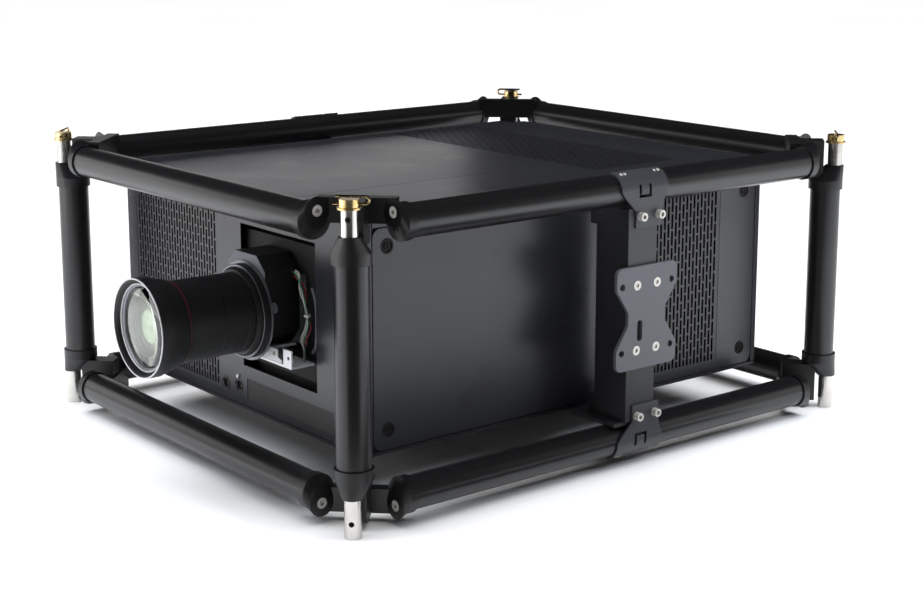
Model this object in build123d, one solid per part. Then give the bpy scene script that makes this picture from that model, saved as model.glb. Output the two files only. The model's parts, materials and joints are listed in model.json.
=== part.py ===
"""Large-venue projector carried in a tubular rigging frame.

Millimetres, +Z up.  The origin is the middle of the four foot spigots, on the floor.
The lens looks along -Y, and the right-hand side of the projector is +X.
"""
import os
from math import cos, pi, radians, sin, sqrt

from build123d import *

# ---------------------------------------------------------------- rigging frame
tube_d = 50.0            # outside diameter of every frame tube
tube_wall = 3.0
post_x = 414.0           # post axis, from the middle of the frame
post_y = 492.5
rail_out = 14.0          # rail axes stand this far outside the post axes
rail_z_low = 45.0
rail_z_high = 437.0
collar_wall = 2.5
collar_d = tube_d + 2 * collar_wall      # corner collars over the rail ends
collar_len = 22.0
corner_reach = 60.0      # post axis to the flat end of a collar
sleeve_wall = 3.5
sleeve_d = tube_d + 2 * sleeve_wall      # corner sleeves over the post ends
sleeve_len = 15.0
cone_len = 25.0          # taper from sleeve to spigot seat
cone_tip_wall = 3.0      # flat ring round a spigot
ear_d = 40.0             # flat end face of a collar
ear_drop = 14.0          # ears sit outward of the rail axis
spigot_d = 25.0          # foot spigots
stack_d = 24.0           # stacking spigots, free in the foot sockets of the frame above
tenon_d = 20.0           # seat of a spigot in its casting
spigot_out = 10.0        # spigot axis, outside the post axis in X and in Y
spigot_seat = 6.0        # depth of the spigot in the cone
cone_tip_d = spigot_d + 2 * cone_tip_wall
spigot_hole_d = 8.0
spigot_hole_z = 23.0
spigot_top_z = 463.0
cap_d = 28.0
cap_len = 14.0
clip_wire_d = 3.6
clip_clearance = 0.05
clip_overhang = 8.0      # straight leg past the cap
clip_loop_h = 10.4       # between the pin and the return leg
clip_short = 4.0         # return leg stops short of the pin's end
corner_screw_d = 16.0

# ---------------------------------------------------------------- side brackets
bracket_y = 20.0         # middle of the side uprights
upright_w = 60.0
upright_depth = 70.0
upright_t = 4.0
upright_gap = 2.0        # upright ends to the rails
plate_gap = 0.2
hook_t = 3.0
hook_w = 97.0            # hook plate, at the rail
hook_neck_w = 55.0       # hook plate, at the cap screws
hook_drop = 57.0         # rail axis to the end of the hook plate
hub_plate_w = 127.0      # waisted mounting plate
hub_plate_h = 161.0
hub_plate_waist = 78.0
hub_plate_t = 6.0
hub_plate_y = 26.0
hub_hole_d = 10.4
hub_hole_dy = 104.0
hub_hole_dz = 103.0
hub_slot_w = 11.0
hub_slot_y = hub_plate_y - 14.5
hub_slot_z = (209.5, 231.5)
hub_screw_dy = 42.0
hub_screw_dz = 102.0
hub_screw_d = 15.0
cap_screw_d = 13.0
cap_screw_dy = 38.0
cap_screw_len = 10.0
beam_w = 100.0
beam_t = 5.6
beam_gap = 0.4           # beam to the lower rails

# ---------------------------------------------------------------- projector body
body_w = 688.0
body_y_front = -427.0
body_y_rear = 406.0
body_z_low = rail_z_low + tube_d / 2 + beam_gap + beam_t
body_z_high = 431.0
sheet = 3.0              # cover thickness
base_rim_h = 5.0
seam = 1.5               # gap between neighbouring covers
front_return = 18.0      # depth of the front cover's turned edge
rear_return = 10.0
hood_depth = 45.0        # hood over the rear connectors
hood_inset = 22.0        # from each side of the body
hood_drop = 2.0          # below the top face
hood_h = 20.0
top_return = 18.0
panel_corner_r = 14.0
bar = 16.0               # square bar of the inner chassis
vent_z_low = 96.0
vent_z_high = 400.0
vent_t = 1.6
vent_recess = 0.6
slot_pitch = 8.5
slot_w = 4.6
slot_period = 28.0
slot_len = 24.5
front_vent_x = (30.0 - body_w / 2, -48.0)
side_vent_y = (24.0, 309.0)
top_vent_x = (18.0 - body_w / 2, body_w / 2 - 104.0)
top_vent_y = (120.0, 320.0)
fastener_d = 22.0
side_fastener_inset = (26.0, 28.0, 29.0, 27.0)   # from the front, rear, lower and upper edges
top_fastener_x = body_w / 2 - 68.0
top_fastener_inset = (50.0, 30.0)                # from the front and rear faces
top_seam_x = 148.0

# ---------------------------------------------------------------- lens
lens_x = 115.0
lens_z = 262.0
lens_y_front = -660.0
lens_front_d = 147.0
lens_rim_len = 22.0
barrel_d = 121.0
bell_y = -604.0          # where the front bell meets the barrel
zoom_y = -548.0          # split between focus ring and zoom ring
flange_y = -489.0        # front of the lens flange
flange_d = 143.0
flange_t = 10.0
ring_clearance = 0.08
inner_barrel_d = 108.0
glass_d = 124.0
opening_x = (22.0, 228.0)
opening_z = (148.0, 376.0)
holder_half_w = 52.0
holder_y_front = -476.0
holder_z = (212.0, 350.0)
holder_chamfer = 22.0
rear_tube_d = 86.0        # lens tube that passes through the carriage
shift_x = 12.0           # lens shift each way
shift_z = 14.0

# ---------------------------------------------------------------- controls and sockets
socket_pos = ((-34.0, 106.0), (6.0, 110.0))
socket_d = 24.0
socket_depth = front_return - 1.0
latch_d = 6.0
window_x = (31.0, 270.0)
window_z = (93.0, 128.0)
io_x = (44.0 - body_w / 2, -20.0)
io_z = (110.0, 330.0)
menu_pos = (-170.0, 375.0)
menu_d = 44.0
power_pos = (-110.0, 375.0)
key_d = 22.0
key_clearance = 0.3
fan_d = 140.0
fan_x = 190.0
fan_gap = 10.0
fan_middle_z = 251.0
fan_z = (fan_middle_z - (fan_d + fan_gap) / 2, fan_middle_z + (fan_d + fan_gap) / 2)
rocker_x = 60.0
rocker_z = 150.0
rocker_pin_d = 4.0
inlet_z = 215.0
inlet_d = 32.0
wheel_x = -120.0         # phosphor wheel in the light source
wheel_z = 290.0
wheel_d = 100.0
shaft_d = 8.0
engine_x = (40.0, 210.0)
engine_y = (-360.0, -120.0)
engine_z = (130.0, 340.0)
source_x = (94.0 - body_w / 2, 10.0)
source_y = (-340.0, -60.0)
source_top_z = 250.0
supply_x = (60.0, body_w / 2 - 44.0)
supply_y = (-60.0, 200.0)
supply_top_z = 190.0
board_x = (64.0 - body_w / 2, -100.0)
board_y = (0.0, 300.0)
board_z = 120.0

tube_r = tube_d / 2
rail_x = post_x + rail_out
rail_y = post_y + rail_out
frame_mid_z = (rail_z_low + rail_z_high) / 2
spigot_x = post_x + spigot_out
spigot_y = post_y + spigot_out
collar_face_x = post_x - corner_reach
collar_face_y = post_y - corner_reach
ring_z_low = rail_z_low + tube_r + 27.0
cone_top_z = ring_z_low - sleeve_len
cone_tip_z = cone_top_z - cone_len
body_x = body_w / 2
cover_z_low = body_z_low + base_rim_h + seam
plate_x = rail_x + tube_r + plate_gap
root_half = sqrt(0.5)
stage_y = body_y_front + 12.0   # back face of the sideways carriage

os.makedirs("parts", exist_ok=True)


def block(x0, x1, y0, y1, z0, z1):
    """Box between two opposite corners."""
    return Pos((x0 + x1) / 2, (y0 + y1) / 2, (z0 + z1) / 2) * Box(x1 - x0, y1 - y0, z1 - z0)


def rod_x(d, x0, x1, y, z):
    return Pos((x0 + x1) / 2, y, z) * Rot(0, 90, 0) * Cylinder(d / 2, x1 - x0)


def rod_y(d, y0, y1, x, z):
    return Pos(x, (y0 + y1) / 2, z) * Rot(90, 0, 0) * Cylinder(d / 2, y1 - y0)


def rod_z(d, z0, z1, x, y):
    return Pos(x, y, (z0 + z1) / 2) * Cylinder(d / 2, z1 - z0)


def taper_y(d0, d1, y0, y1, x, z):
    """Cone along Y, d0 wide at y0 and d1 wide at y1."""
    return Pos(x, (y0 + y1) / 2, z) * Rot(-90, 0, 0) * Cone(d0 / 2, d1 / 2, y1 - y0)


def hex_y(across, y0, y1, x, z):
    flat = Plane(origin=(x, y0, z), x_dir=(1, 0, 0), z_dir=(0, 1, 0)) * RegularPolygon(across / 2, 6, False)
    return extrude(flat, y1 - y0)


def hex_x(across, x0, x1, y, z):
    flat = Plane(origin=(x0, y, z), x_dir=(0, 1, 0), z_dir=(1, 0, 0)) * RegularPolygon(across / 2, 6, False)
    return extrude(flat, x1 - x0)


def flip_x(part):
    return mirror(part, about=Plane.YZ)


def flip_y(part):
    return mirror(part, about=Plane.XZ)


def flip_z(part):
    """Mirror about the middle height of the frame."""
    return mirror(part, about=Plane.XY.offset(frame_mid_z))


def solids_of(parts):
    found = []
    for part in parts:
        found.extend(part.solids())
    return found


def save(name, *parts):
    """Write one node, as one solid or as a group of separate solids."""
    found = solids_of(parts)
    shape = found[0] if len(found) == 1 else Compound(found)
    export_step(shape, f"parts/{name}.step")


def four_corners(part):
    """A front right piece and its three mirror images."""
    return [part, flip_x(part), flip_y(part), flip_x(flip_y(part))]


def both_sides(part):
    return [part, flip_x(part)]


# ================================================================ rigging frame

def in_corner(part):
    """Place a piece that is drawn with w along X and t along Y."""
    return Pos(post_x, -post_y, 0) * Rot(0, 0, -45) * part


def disc_z(d, x, y, z):
    return Plane(origin=(x, y, z)) * Circle(d / 2)


def disc_x(d, x, y, z):
    return Plane(origin=(x, y, z), x_dir=(0, 1, 0), z_dir=(1, 0, 0)) * Circle(d / 2)


def disc_y(d, x, y, z):
    return Plane(origin=(x, y, z), x_dir=(1, 0, 0), z_dir=(0, -1, 0)) * Circle(d / 2)


def spigot(d, body_z, tenon_z, hole_z):
    """Spigot with a thinner seat for its casting and a cross hole on the corner's diagonal."""
    part = rod_z(d, *body_z, spigot_x, -spigot_y)
    part += rod_z(tenon_d, *tenon_z, spigot_x, -spigot_y)
    reach = spigot_out * sqrt(2)
    hole = in_corner(Pos(reach, 0, hole_z) * Rot(0, 90, 0) * Cylinder(spigot_hole_d / 2, spigot_d + 2))
    return part - hole


def corner_screw(socket):
    """Countersunk screw in each of a corner's two ears."""
    ear_z = rail_z_low - ear_drop
    head = 5.0
    shank = 26.0
    screw_x = rod_x(corner_screw_d, collar_face_x - head, collar_face_x + 0.4, -rail_y, ear_z)
    screw_x += rod_x(corner_screw_d / 2, collar_face_x - shank, collar_face_x - head, -rail_y, ear_z)
    screw_y = rod_y(corner_screw_d, -collar_face_y - 0.4, -collar_face_y + head, rail_x, ear_z)
    screw_y += rod_y(corner_screw_d / 2, -collar_face_y + head, -collar_face_y + shank, rail_x, ear_z)
    if socket:
        screw_x -= hex_x(7.0, collar_face_x - 3.0, collar_face_x + 1.0, -rail_y, ear_z)
        screw_y -= hex_y(7.0, -collar_face_y - 1.0, -collar_face_y + 3.0, rail_x, ear_z)
    return [screw_x, screw_y]


def corner_casting():
    """Lower front right casting: post sleeve, two rail collars and the web between them."""
    ear_z = rail_z_low - ear_drop
    nose = 8.0
    socket_end = 10.0
    sleeve = rod_z(sleeve_d, cone_top_z, ring_z_low, post_x, -post_y)
    cone = loft([disc_z(sleeve_d, post_x, -post_y, cone_top_z), disc_z(cone_tip_d, spigot_x, -spigot_y, cone_tip_z)])
    part = sleeve + cone
    x_end = collar_face_x - nose
    y_end = -collar_face_y + nose
    part += rod_x(collar_d, collar_face_x - collar_len, x_end, -rail_y, rail_z_low)
    part += loft([disc_x(collar_d, x_end, -rail_y, rail_z_low), disc_x(ear_d, collar_face_x, -rail_y, ear_z)])
    part += rod_y(collar_d, y_end, -collar_face_y + collar_len, rail_x, rail_z_low)
    part += loft([disc_y(collar_d, rail_x, y_end, rail_z_low), disc_y(ear_d, rail_x, -collar_face_y, ear_z)])
    web_back = (corner_reach + rail_out) * root_half + 14.0
    web_half = (corner_reach + rail_out) * root_half + 4.0
    web_z = (ear_z - 17.0, ear_z + 19.0)
    part += in_corner(block(-web_back, -web_back + 20.0, -web_half, web_half, *web_z))
    part += in_corner(block(-web_back + 4.0, -6.0, -16.0, 16.0, web_z[0], cone_top_z - 4.0))
    part -= rod_z(tube_d, cone_top_z, ring_z_low + 1.0, post_x, -post_y)
    part -= rod_z(tenon_d, 0.0, cone_tip_z + spigot_seat, spigot_x, -spigot_y)
    part -= rod_x(tube_d, 0.0, collar_face_x - socket_end, -rail_y, rail_z_low)
    part -= rod_y(tube_d, -collar_face_y + socket_end, 0.0, rail_x, rail_z_low)
    for screw in corner_screw(False):
        part -= screw
    return part


def build_frame():
    tube_bore = tube_d - 2 * tube_wall
    end_x = collar_face_x - 10.0
    end_y = collar_face_y - 10.0
    post = rod_z(tube_d, cone_top_z, 2 * frame_mid_z - cone_top_z, post_x, -post_y)
    post -= rod_z(tube_bore, 0.0, 2 * rail_z_high, post_x, -post_y)
    save("posts", *four_corners(post))
    for level, z in (("lower", rail_z_low), ("upper", rail_z_high)):
        cross = rod_x(tube_d, -end_x, end_x, -rail_y, z) - rod_x(tube_bore, -end_x, end_x, -rail_y, z)
        along = rod_y(tube_d, -end_y, end_y, rail_x, z) - rod_y(tube_bore, -end_y, end_y, rail_x, z)
        if level == "lower":
            screws = corner_screw(False)
        else:
            screws = [flip_z(screw) for screw in corner_screw(False)]
        for screw in screws:
            for copy in four_corners(screw):
                cross -= copy
                along -= copy
        save(f"{level}_rail_front", cross)
        save(f"{level}_rail_rear", flip_y(cross))
        save(f"{level}_rail_right", along)
        save(f"{level}_rail_left", flip_x(along))
    casting = corner_casting()
    save("corner_castings", *four_corners(casting), *four_corners(flip_z(casting)))
    seat_z = cone_tip_z + spigot_seat
    foot = spigot(spigot_d, (0.0, cone_tip_z), (cone_tip_z, seat_z), spigot_hole_z)
    tip_z = 2 * frame_mid_z - cone_tip_z
    stack = spigot(stack_d, (tip_z, spigot_top_z), (tip_z - spigot_seat, tip_z), spigot_top_z - 13.0)
    save("spigots", *four_corners(foot), *four_corners(stack))
    build_clips()


def corner_screw_group():
    screws = corner_screw(True)
    screws += [flip_z(screw) for screw in screws]
    group = []
    for screw in screws:
        group.extend(four_corners(screw))
    return group


def build_clips():
    """Plated caps on the stacking spigots and the wire clips that lock them."""
    reach = spigot_out * sqrt(2)
    pin_z = spigot_top_z + cap_len / 2
    bore_d = clip_wire_d + 2 * clip_clearance
    cap = rod_z(cap_d, spigot_top_z, spigot_top_z + cap_len, spigot_x, -spigot_y)
    cap -= rod_z(cap_d - 9.0, spigot_top_z + 8.0 + cap_len / 2, spigot_top_z + cap_len + 1, spigot_x, -spigot_y)
    cap += rod_z(cap_d + 5.0, spigot_top_z, spigot_top_z + 2.5, spigot_x, -spigot_y)
    cap -= in_corner(Pos(reach, 0, pin_z) * Rot(90, 0, 0) * Cylinder(bore_d / 2, cap_d + 10))
    save("spigot_caps", *four_corners(cap))
    leg_end = cap_d / 2 + clip_overhang
    upper_z = pin_z + clip_loop_h
    route = FilletPolyline(
        (reach, -leg_end, pin_z),
        (reach, leg_end + clip_loop_h / 2, pin_z),
        (reach, leg_end + clip_loop_h / 2, upper_z),
        (reach, clip_short - leg_end, upper_z),
        radius=0.48 * clip_loop_h,
    )
    clip = in_corner(sweep(Plane(origin=route @ 0, z_dir=route % 0) * Circle(clip_wire_d / 2), path=route))
    save("clip_front_right", clip)
    save("clip_front_left", flip_x(clip))
    save("clip_rear_right", flip_y(clip))
    save("clip_rear_left", flip_x(flip_y(clip)))


# ================================================================ side brackets

def upright_screws():
    """Cap screws that hold the hook plates to a right-hand upright."""
    group = []
    z = rail_z_high - cap_screw_gap()
    for side in (-0.5, 0.5):
        y = bracket_y + 10.0 + side * cap_screw_dy
        screw = rod_x(cap_screw_d, plate_x + hook_t, plate_x + hook_t + cap_screw_len, y, z)
        screw += rod_x(8.0, plate_x - upright_t - 4.0, plate_x + hook_t, y, z)
        group.append(screw)
    return group


def cap_screw_gap():
    return hook_drop - 18.0


def hub_screws():
    group = []
    face = plate_x + hub_plate_t
    for sy in (-0.5, 0.5):
        for sz in (-0.5, 0.5):
            y = hub_plate_y + sy * hub_screw_dy
            z = frame_mid_z + sz * hub_screw_dz
            screw = rod_x(hub_screw_d, face - 3.0, face + 0.4, y, z)
            screw += rod_x(8.0, plate_x - upright_t - 4.0, face - 3.0, y, z)
            group.append(screw)
    return group


def rail_screws():
    """Small pairs of screws that pin a hook plate to the top rail."""
    group = []
    tilt = radians(62)
    r0 = tube_r - 6.0
    r1 = tube_r + plate_gap + hook_t + 1.6
    for y in (bracket_y + 1.5 - 0.36 * hook_w, bracket_y + 1.5 + 0.36 * hook_w):
        for dy in (-4.0, 4.0):
            mid = (r0 + r1) / 2
            x = rail_x + mid * cos(tilt)
            z = rail_z_high + mid * sin(tilt)
            group.append(Pos(x, y + dy, z) * Rot(0, 28, 0) * Cylinder(2.4, r1 - r0))
    return group


def hook_plate():
    """Upper right plate: wraps the rail and runs down over the upright."""
    y_mid = bracket_y + 1.5
    z0 = rail_z_high - hook_drop
    points = [
        (y_mid - hook_w / 2, rail_z_high),
        (y_mid + hook_w / 2, rail_z_high),
        (y_mid + hook_w / 2 - 6.0, rail_z_high - 8.0),
        (bracket_y + 10.0 + hook_neck_w / 2, z0 + 26.0),
        (bracket_y + 10.0 + hook_neck_w / 2, z0),
        (bracket_y + 10.0 - hook_neck_w / 2, z0),
        (bracket_y + 10.0 - hook_neck_w / 2, z0 + 26.0),
        (y_mid - hook_w / 2 + 6.0, rail_z_high - 8.0),
    ]
    outline = Plane.YZ.offset(plate_x) * make_face(Polyline(*points, close=True))
    part = extrude(outline, hook_t)
    r0 = 2 * (tube_r + plate_gap)
    wrap = rod_y(r0 + 2 * hook_t, y_mid - hook_w / 2, y_mid + hook_w / 2, rail_x, rail_z_high)
    wrap -= rod_y(r0, y_mid - hook_w, y_mid + hook_w, rail_x, rail_z_high)
    part += wrap & block(rail_x, rail_x + 60.0, y_mid - hook_w, y_mid + hook_w, rail_z_high, rail_z_high + 60.0)
    notch_z = rail_z_high - 11.0
    notch = block(plate_x - 4.0, plate_x + 8.0, y_mid - 13.0, y_mid + 13.0, notch_z, notch_z + 20.0)
    notch -= block(plate_x - 4.0, plate_x + 8.0, y_mid - 8.0, y_mid + 8.0, notch_z + 4.5, notch_z + 20.0)
    part -= notch
    for screw in upright_screws() + rail_screws():
        part -= screw
    return part


def upright():
    """Right-hand U channel between the rails, open towards the projector."""
    z0 = rail_z_low + tube_r + upright_gap + 4.0
    z1 = rail_z_high - tube_r - upright_gap
    y0 = bracket_y + 10.0 - upright_w / 2 - 10.0
    y1 = y0 + upright_w
    x1 = plate_x
    x0 = x1 - upright_depth
    part = block(x0, x1, y0, y1, z0, z1)
    part -= block(x0 - 1, x1 - upright_t, y0 + upright_t, y1 - upright_t, z0 - 1, z1 + 1)
    for za, zb in ((z0, z0 + 32.0), (z1 - 32.0, z1)):
        for ya in (y0, y1 - upright_t):
            part += block(x0 - 14.0, x0 + 1.0, ya, ya + upright_t, za, zb)
    for screw in upright_screws() + [flip_z(s) for s in upright_screws()] + hub_screws():
        part -= screw
    return part


def mounting_plate():
    """Waisted plate with four outer holes and a slot."""
    w = hub_plate_w / 2
    h = hub_plate_h / 2
    n = hub_plate_waist / 2
    side = [(w, h), (w, 0.58 * h), (n, 0.13 * h), (n, -0.13 * h), (w, -0.58 * h), (w, -h)]
    points = side + [(-y, z) for y, z in reversed(side)]
    placed = [(hub_plate_y + y, frame_mid_z + z) for y, z in points]
    part = extrude(Plane.YZ.offset(plate_x) * make_face(Polyline(*placed, close=True)), hub_plate_t)
    part = fillet(part.edges().filter_by(Axis.X), 11.0)
    for sy in (-0.5, 0.5):
        for sz in (-0.5, 0.5):
            y = hub_plate_y + sy * hub_hole_dy
            z = frame_mid_z + sz * hub_hole_dz
            part -= rod_x(hub_hole_d, plate_x - 1, plate_x + hub_plate_t + 1, y, z)
    r = hub_slot_w / 2
    slot = block(plate_x - 1, plate_x + hub_plate_t + 1, hub_slot_y - r, hub_slot_y + r, *hub_slot_z)
    for z in hub_slot_z:
        slot += rod_x(hub_slot_w, plate_x - 1, plate_x + hub_plate_t + 1, hub_slot_y, z)
    part -= slot
    for screw in hub_screws():
        part -= screw
    return part


def beam_screws():
    """Four screws that hold the projector's base down on the cross beam."""
    group = []
    for y in (bracket_y - 30.0, bracket_y + 30.0):
        for x in (-260.0, 260.0):
            screw = rod_z(9.0, body_z_low - beam_t, body_z_low + sheet, x, y)
            screw += rod_z(15.0, body_z_low - beam_t - 5.0, body_z_low - beam_t, x, y)
            group.append(screw)
    return group


def build_brackets():
    save("uprights", *both_sides(upright()))
    hook = hook_plate()
    save("hook_plates", *both_sides(hook), *both_sides(flip_z(hook)))
    save("mounting_plates", *both_sides(mounting_plate()))
    group = []
    face = plate_x + hub_plate_t
    for index, screw in enumerate(hub_screws()):
        y = hub_plate_y + (-0.5, 0.5)[index // 2] * hub_screw_dy
        z = frame_mid_z + (-0.5, 0.5)[index % 2] * hub_screw_dz
        group.append(screw - hex_x(6.0, face - 2.0, face + 1.0, y, z))
    cap_z = rail_z_high - cap_screw_gap()
    end = plate_x + hook_t + cap_screw_len
    for side, screw in zip((-0.5, 0.5), upright_screws()):
        y = bracket_y + 10.0 + side * cap_screw_dy
        socketed = screw - hex_x(6.5, end - 5.0, end + 1.0, y, cap_z)
        group.extend([socketed, flip_z(socketed)])
    for screw in rail_screws():
        trimmed = screw - rod_y(tube_d, -200.0, 200.0, rail_x, rail_z_high)
        group.extend([trimmed, flip_z(trimmed)])
    everything = corner_screw_group() + beam_screws()
    for screw in group:
        everything.extend(both_sides(screw))
    save("frame_screws", *everything)
    half = plate_x - upright_t
    top = body_z_low
    beam = block(-half, half, bracket_y - beam_w / 2, bracket_y + beam_w / 2, top - beam_t, top)
    for screw in beam_screws():
        beam -= screw
    save("cross_beam", beam)


# ================================================================ projector body

def slotted_sheet(u0, u1, v0, v1):
    """Flat face with staggered slots, long along v, for a vent."""
    edge = 5.0
    count_u = int((u1 - u0 - 2 * edge - slot_w) // slot_pitch) + 1
    start_u = (u0 + u1 - (count_u - 1) * slot_pitch) / 2
    holes = []
    for column in range(count_u):
        u = start_u + column * slot_pitch
        v = v0 + edge - (slot_period / 2 if column % 2 else 0.0)
        while v < v1 - edge:
            low = max(v, v0 + edge)
            high = min(v + slot_len, v1 - edge)
            if high - low > 6.0:
                holes.append((u, low, high))
            v += slot_period
    outer = Wire.make_polygon([(u0, v0), (u1, v0), (u1, v1), (u0, v1)], close=True)
    inner = []
    half = slot_w / 2
    for u, low, high in holes:
        corners = [(u - half, low), (u + half, low), (u + half, high), (u - half, high)]
        inner.append(Wire.make_polygon(corners, close=True))
    return Face(outer, inner)


def vent_panel(plane, u0, u1, v0, v1):
    face = slotted_sheet(u0, u1, v0, v1)
    return plane * extrude(face, vent_t)


def build_vents():
    front = Plane(origin=(0, body_y_front + vent_recess + vent_t, 0), x_dir=(1, 0, 0), z_dir=(0, -1, 0))
    save("front_vent", vent_panel(front, *front_vent_x, vent_z_low, vent_z_high))
    right = Plane(origin=(body_x - vent_recess - vent_t, 0, 0), x_dir=(0, 1, 0), z_dir=(1, 0, 0))
    panel = vent_panel(right, *side_vent_y, vent_z_low, vent_z_high)
    save("side_vents", *both_sides(panel))
    top = Plane(origin=(0, 0, body_z_high - vent_recess - vent_t), x_dir=(0, 1, 0), z_dir=(0, 0, 1))
    save("top_vent", vent_panel(top, *top_vent_y, -top_vent_x[1], -top_vent_x[0]))


def side_panel():
    """Right cover: flat removable sheet with rounded corners and a vent opening."""
    y0 = body_y_front + front_return + seam
    y1 = body_y_rear - rear_return - seam
    z0 = cover_z_low
    z1 = body_z_high - top_return - seam
    part = block(body_x - sheet, body_x, y0, y1, z0, z1)
    part = fillet(part.edges().filter_by(Axis.X), panel_corner_r)
    part -= block(body_x - 2 * sheet, body_x + 1, *side_vent_y, vent_z_low, vent_z_high)
    for screw in side_fasteners(False):
        part -= screw
    return part


def side_fasteners(slotted):
    """Quarter-turn fasteners in the corners of the right cover."""
    group = []
    front, rear, low, high = side_fastener_inset
    for y in (body_y_front + front_return + seam + front, body_y_rear - rear_return - seam - rear):
        for z in (cover_z_low + low, body_z_high - top_return - seam - high):
            stud = rod_x(fastener_d, body_x - sheet - 1.5, body_x + 0.5, y, z)
            if slotted:
                stud -= rod_x(fastener_d - 5.0, body_x - 1.0, body_x + 1, y, z)
                stud += rod_x(fastener_d - 12.0, body_x - 2.0, body_x + 0.3, y, z)
                stud -= block(body_x - 1.2, body_x + 1, y - 1.0, y + 1.0, z - 4.0, z + 4.0)
            group.append(stud)
    return group


def top_fasteners(slotted):
    group = []
    for x in (-top_fastener_x, top_fastener_x):
        for y in (body_y_front + top_fastener_inset[0], body_y_rear - top_fastener_inset[1]):
            stud = rod_z(fastener_d - 4.0, body_z_high - sheet - 1.5, body_z_high - 0.4, x, y)
            if slotted:
                stud -= rod_z(fastener_d - 8.0, body_z_high - 2.0, body_z_high + 1, x, y)
                stud += rod_z(7.0, body_z_high - 2.5, body_z_high - 0.9, x, y)
            group.append(stud)
    return group


def latch_place():
    x, z = socket_pos[1]
    return x, z + (socket_d + latch_d) / 2 + 1.5


def front_opening():
    return block(*opening_x, body_y_front - 5.0, body_y_front + 30.0, *opening_z)


def front_cover():
    y0 = body_y_front
    part = block(-body_x, body_x, y0, y0 + front_return, cover_z_low, body_z_high)
    part -= block(-body_x + sheet, body_x - sheet, y0 + sheet, y0 + 40.0, cover_z_low + sheet, body_z_high - sheet)
    part -= front_opening()
    part -= block(*front_vent_x, y0 - 1, y0 + 5.0, vent_z_low, vent_z_high)
    part -= block(*window_x, y0 - 1, y0 + 5.0, *window_z)
    for x, z in socket_pos:
        part -= rod_y(socket_d, y0 - 1, y0 + 5.0, x, z)
    part -= rod_y(latch_d + 2 * key_clearance, y0 - 1, y0 + 5.0, *latch_place())
    return part


def rear_cover():
    y1 = body_y_rear
    part = block(-body_x, body_x, y1 - rear_return, y1, cover_z_low, body_z_high)
    part -= block(-body_x + sheet, body_x - sheet, y1 - 40.0, y1 - sheet, cover_z_low + sheet, body_z_high - sheet)
    part -= block(*io_x, y1 - 5.0, y1 + 1, *io_z)
    for z in fan_z:
        part -= rod_y(fan_d, y1 - 5.0, y1 + 1, fan_x, z)
    part -= rod_y(menu_d + 2 * key_clearance, y1 - 5.0, y1 + 1, *menu_pos)
    part -= rod_y(key_d + 2 * key_clearance, y1 - 5.0, y1 + 1, *power_pos)
    part -= block(rocker_x - 14.3, rocker_x + 14.3, y1 - 5.0, y1 + 1, rocker_z - 20.3, rocker_z + 20.3)
    part -= rod_y(inlet_d, y1 - 5.0, y1 + 1, rocker_x, inlet_z)
    x1 = body_x - hood_inset
    z1 = body_z_high - hood_drop
    hood = block(-x1, x1, y1 - sheet, y1 + hood_depth, z1 - hood_h, z1)
    hood -= block(sheet - x1, x1 - sheet, y1 - sheet - 1, y1 + hood_depth - sheet, z1 - hood_h - 1, z1 - sheet)
    return part + hood


def top_cover():
    y0 = body_y_front + front_return + seam
    y1 = body_y_rear - rear_return - seam
    z1 = body_z_high
    part = block(-body_x, body_x, y0, y1, z1 - top_return, z1)
    part -= block(-body_x + sheet, body_x - sheet, y0 - 1, y1 + 1, z1 - 40.0, z1 - sheet)
    part -= block(*top_vent_x, *top_vent_y, z1 - 5.0, z1 + 1)
    part -= block(top_seam_x - 0.6, top_seam_x + 0.6, y0 - 1, top_vent_y[0] - 40.0, z1 - 0.8, z1 + 1)
    part -= block(-body_x - 1, body_x + 1, y1 - 19.2, y1 - 18.0, z1 - 0.8, z1 + 1)
    for screw in top_fasteners(False):
        part -= screw
    return part


def base_tray():
    z0 = body_z_low
    part = block(-body_x, body_x, body_y_front, body_y_rear, z0, z0 + base_rim_h)
    part -= block(-body_x + 14.0, body_x - 14.0, body_y_front + 14.0, body_y_rear - 14.0, z0 + sheet, z0 + 20.0)
    for screw in beam_screws():
        part -= screw
    return part


def chassis():
    """Square-bar frame inside the covers."""
    x = body_x - sheet
    y0 = body_y_front + front_return
    y1 = body_y_rear - rear_return
    z0 = body_z_low + base_rim_h
    z1 = body_z_high - sheet
    part = None
    for sx in (-1, 1):
        xa, xb = sorted((sx * x, sx * (x - bar)))
        for ya in (y0, y1 - bar):
            column = block(xa, xb, ya, ya + bar, z0, z1)
            part = column if part is None else part + column
        part += block(xa, xb, y0, y1, z0, z0 + bar)
        part += block(xa, xb, y0, y1, z1 - bar, z1)
    for ya in (y0, y1 - bar):
        part += block(-x, x, ya, ya + bar, z1 - bar, z1)
        part += block(-x, x, ya, ya + bar, z0, z0 + bar)
    for screw in side_fasteners(False):
        part -= screw
        part -= flip_x(screw)
    for screw in top_fasteners(False):
        part -= screw
    return part


def build_body():
    save("base_tray", base_tray())
    save("chassis_frame", chassis())
    save("front_cover", front_cover())
    save("rear_cover", rear_cover())
    panel = side_panel()
    save("right_cover", panel)
    save("left_cover", flip_x(panel))
    save("top_cover", top_cover())
    build_vents()
    studs = []
    for stud in side_fasteners(True):
        studs.extend(both_sides(stud))
    save("cover_fasteners", *studs, *top_fasteners(True))


# ================================================================ lens and its shift stages

def lens_rod(d, y0, y1):
    return rod_y(d, y0, y1, lens_x, lens_z)


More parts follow.
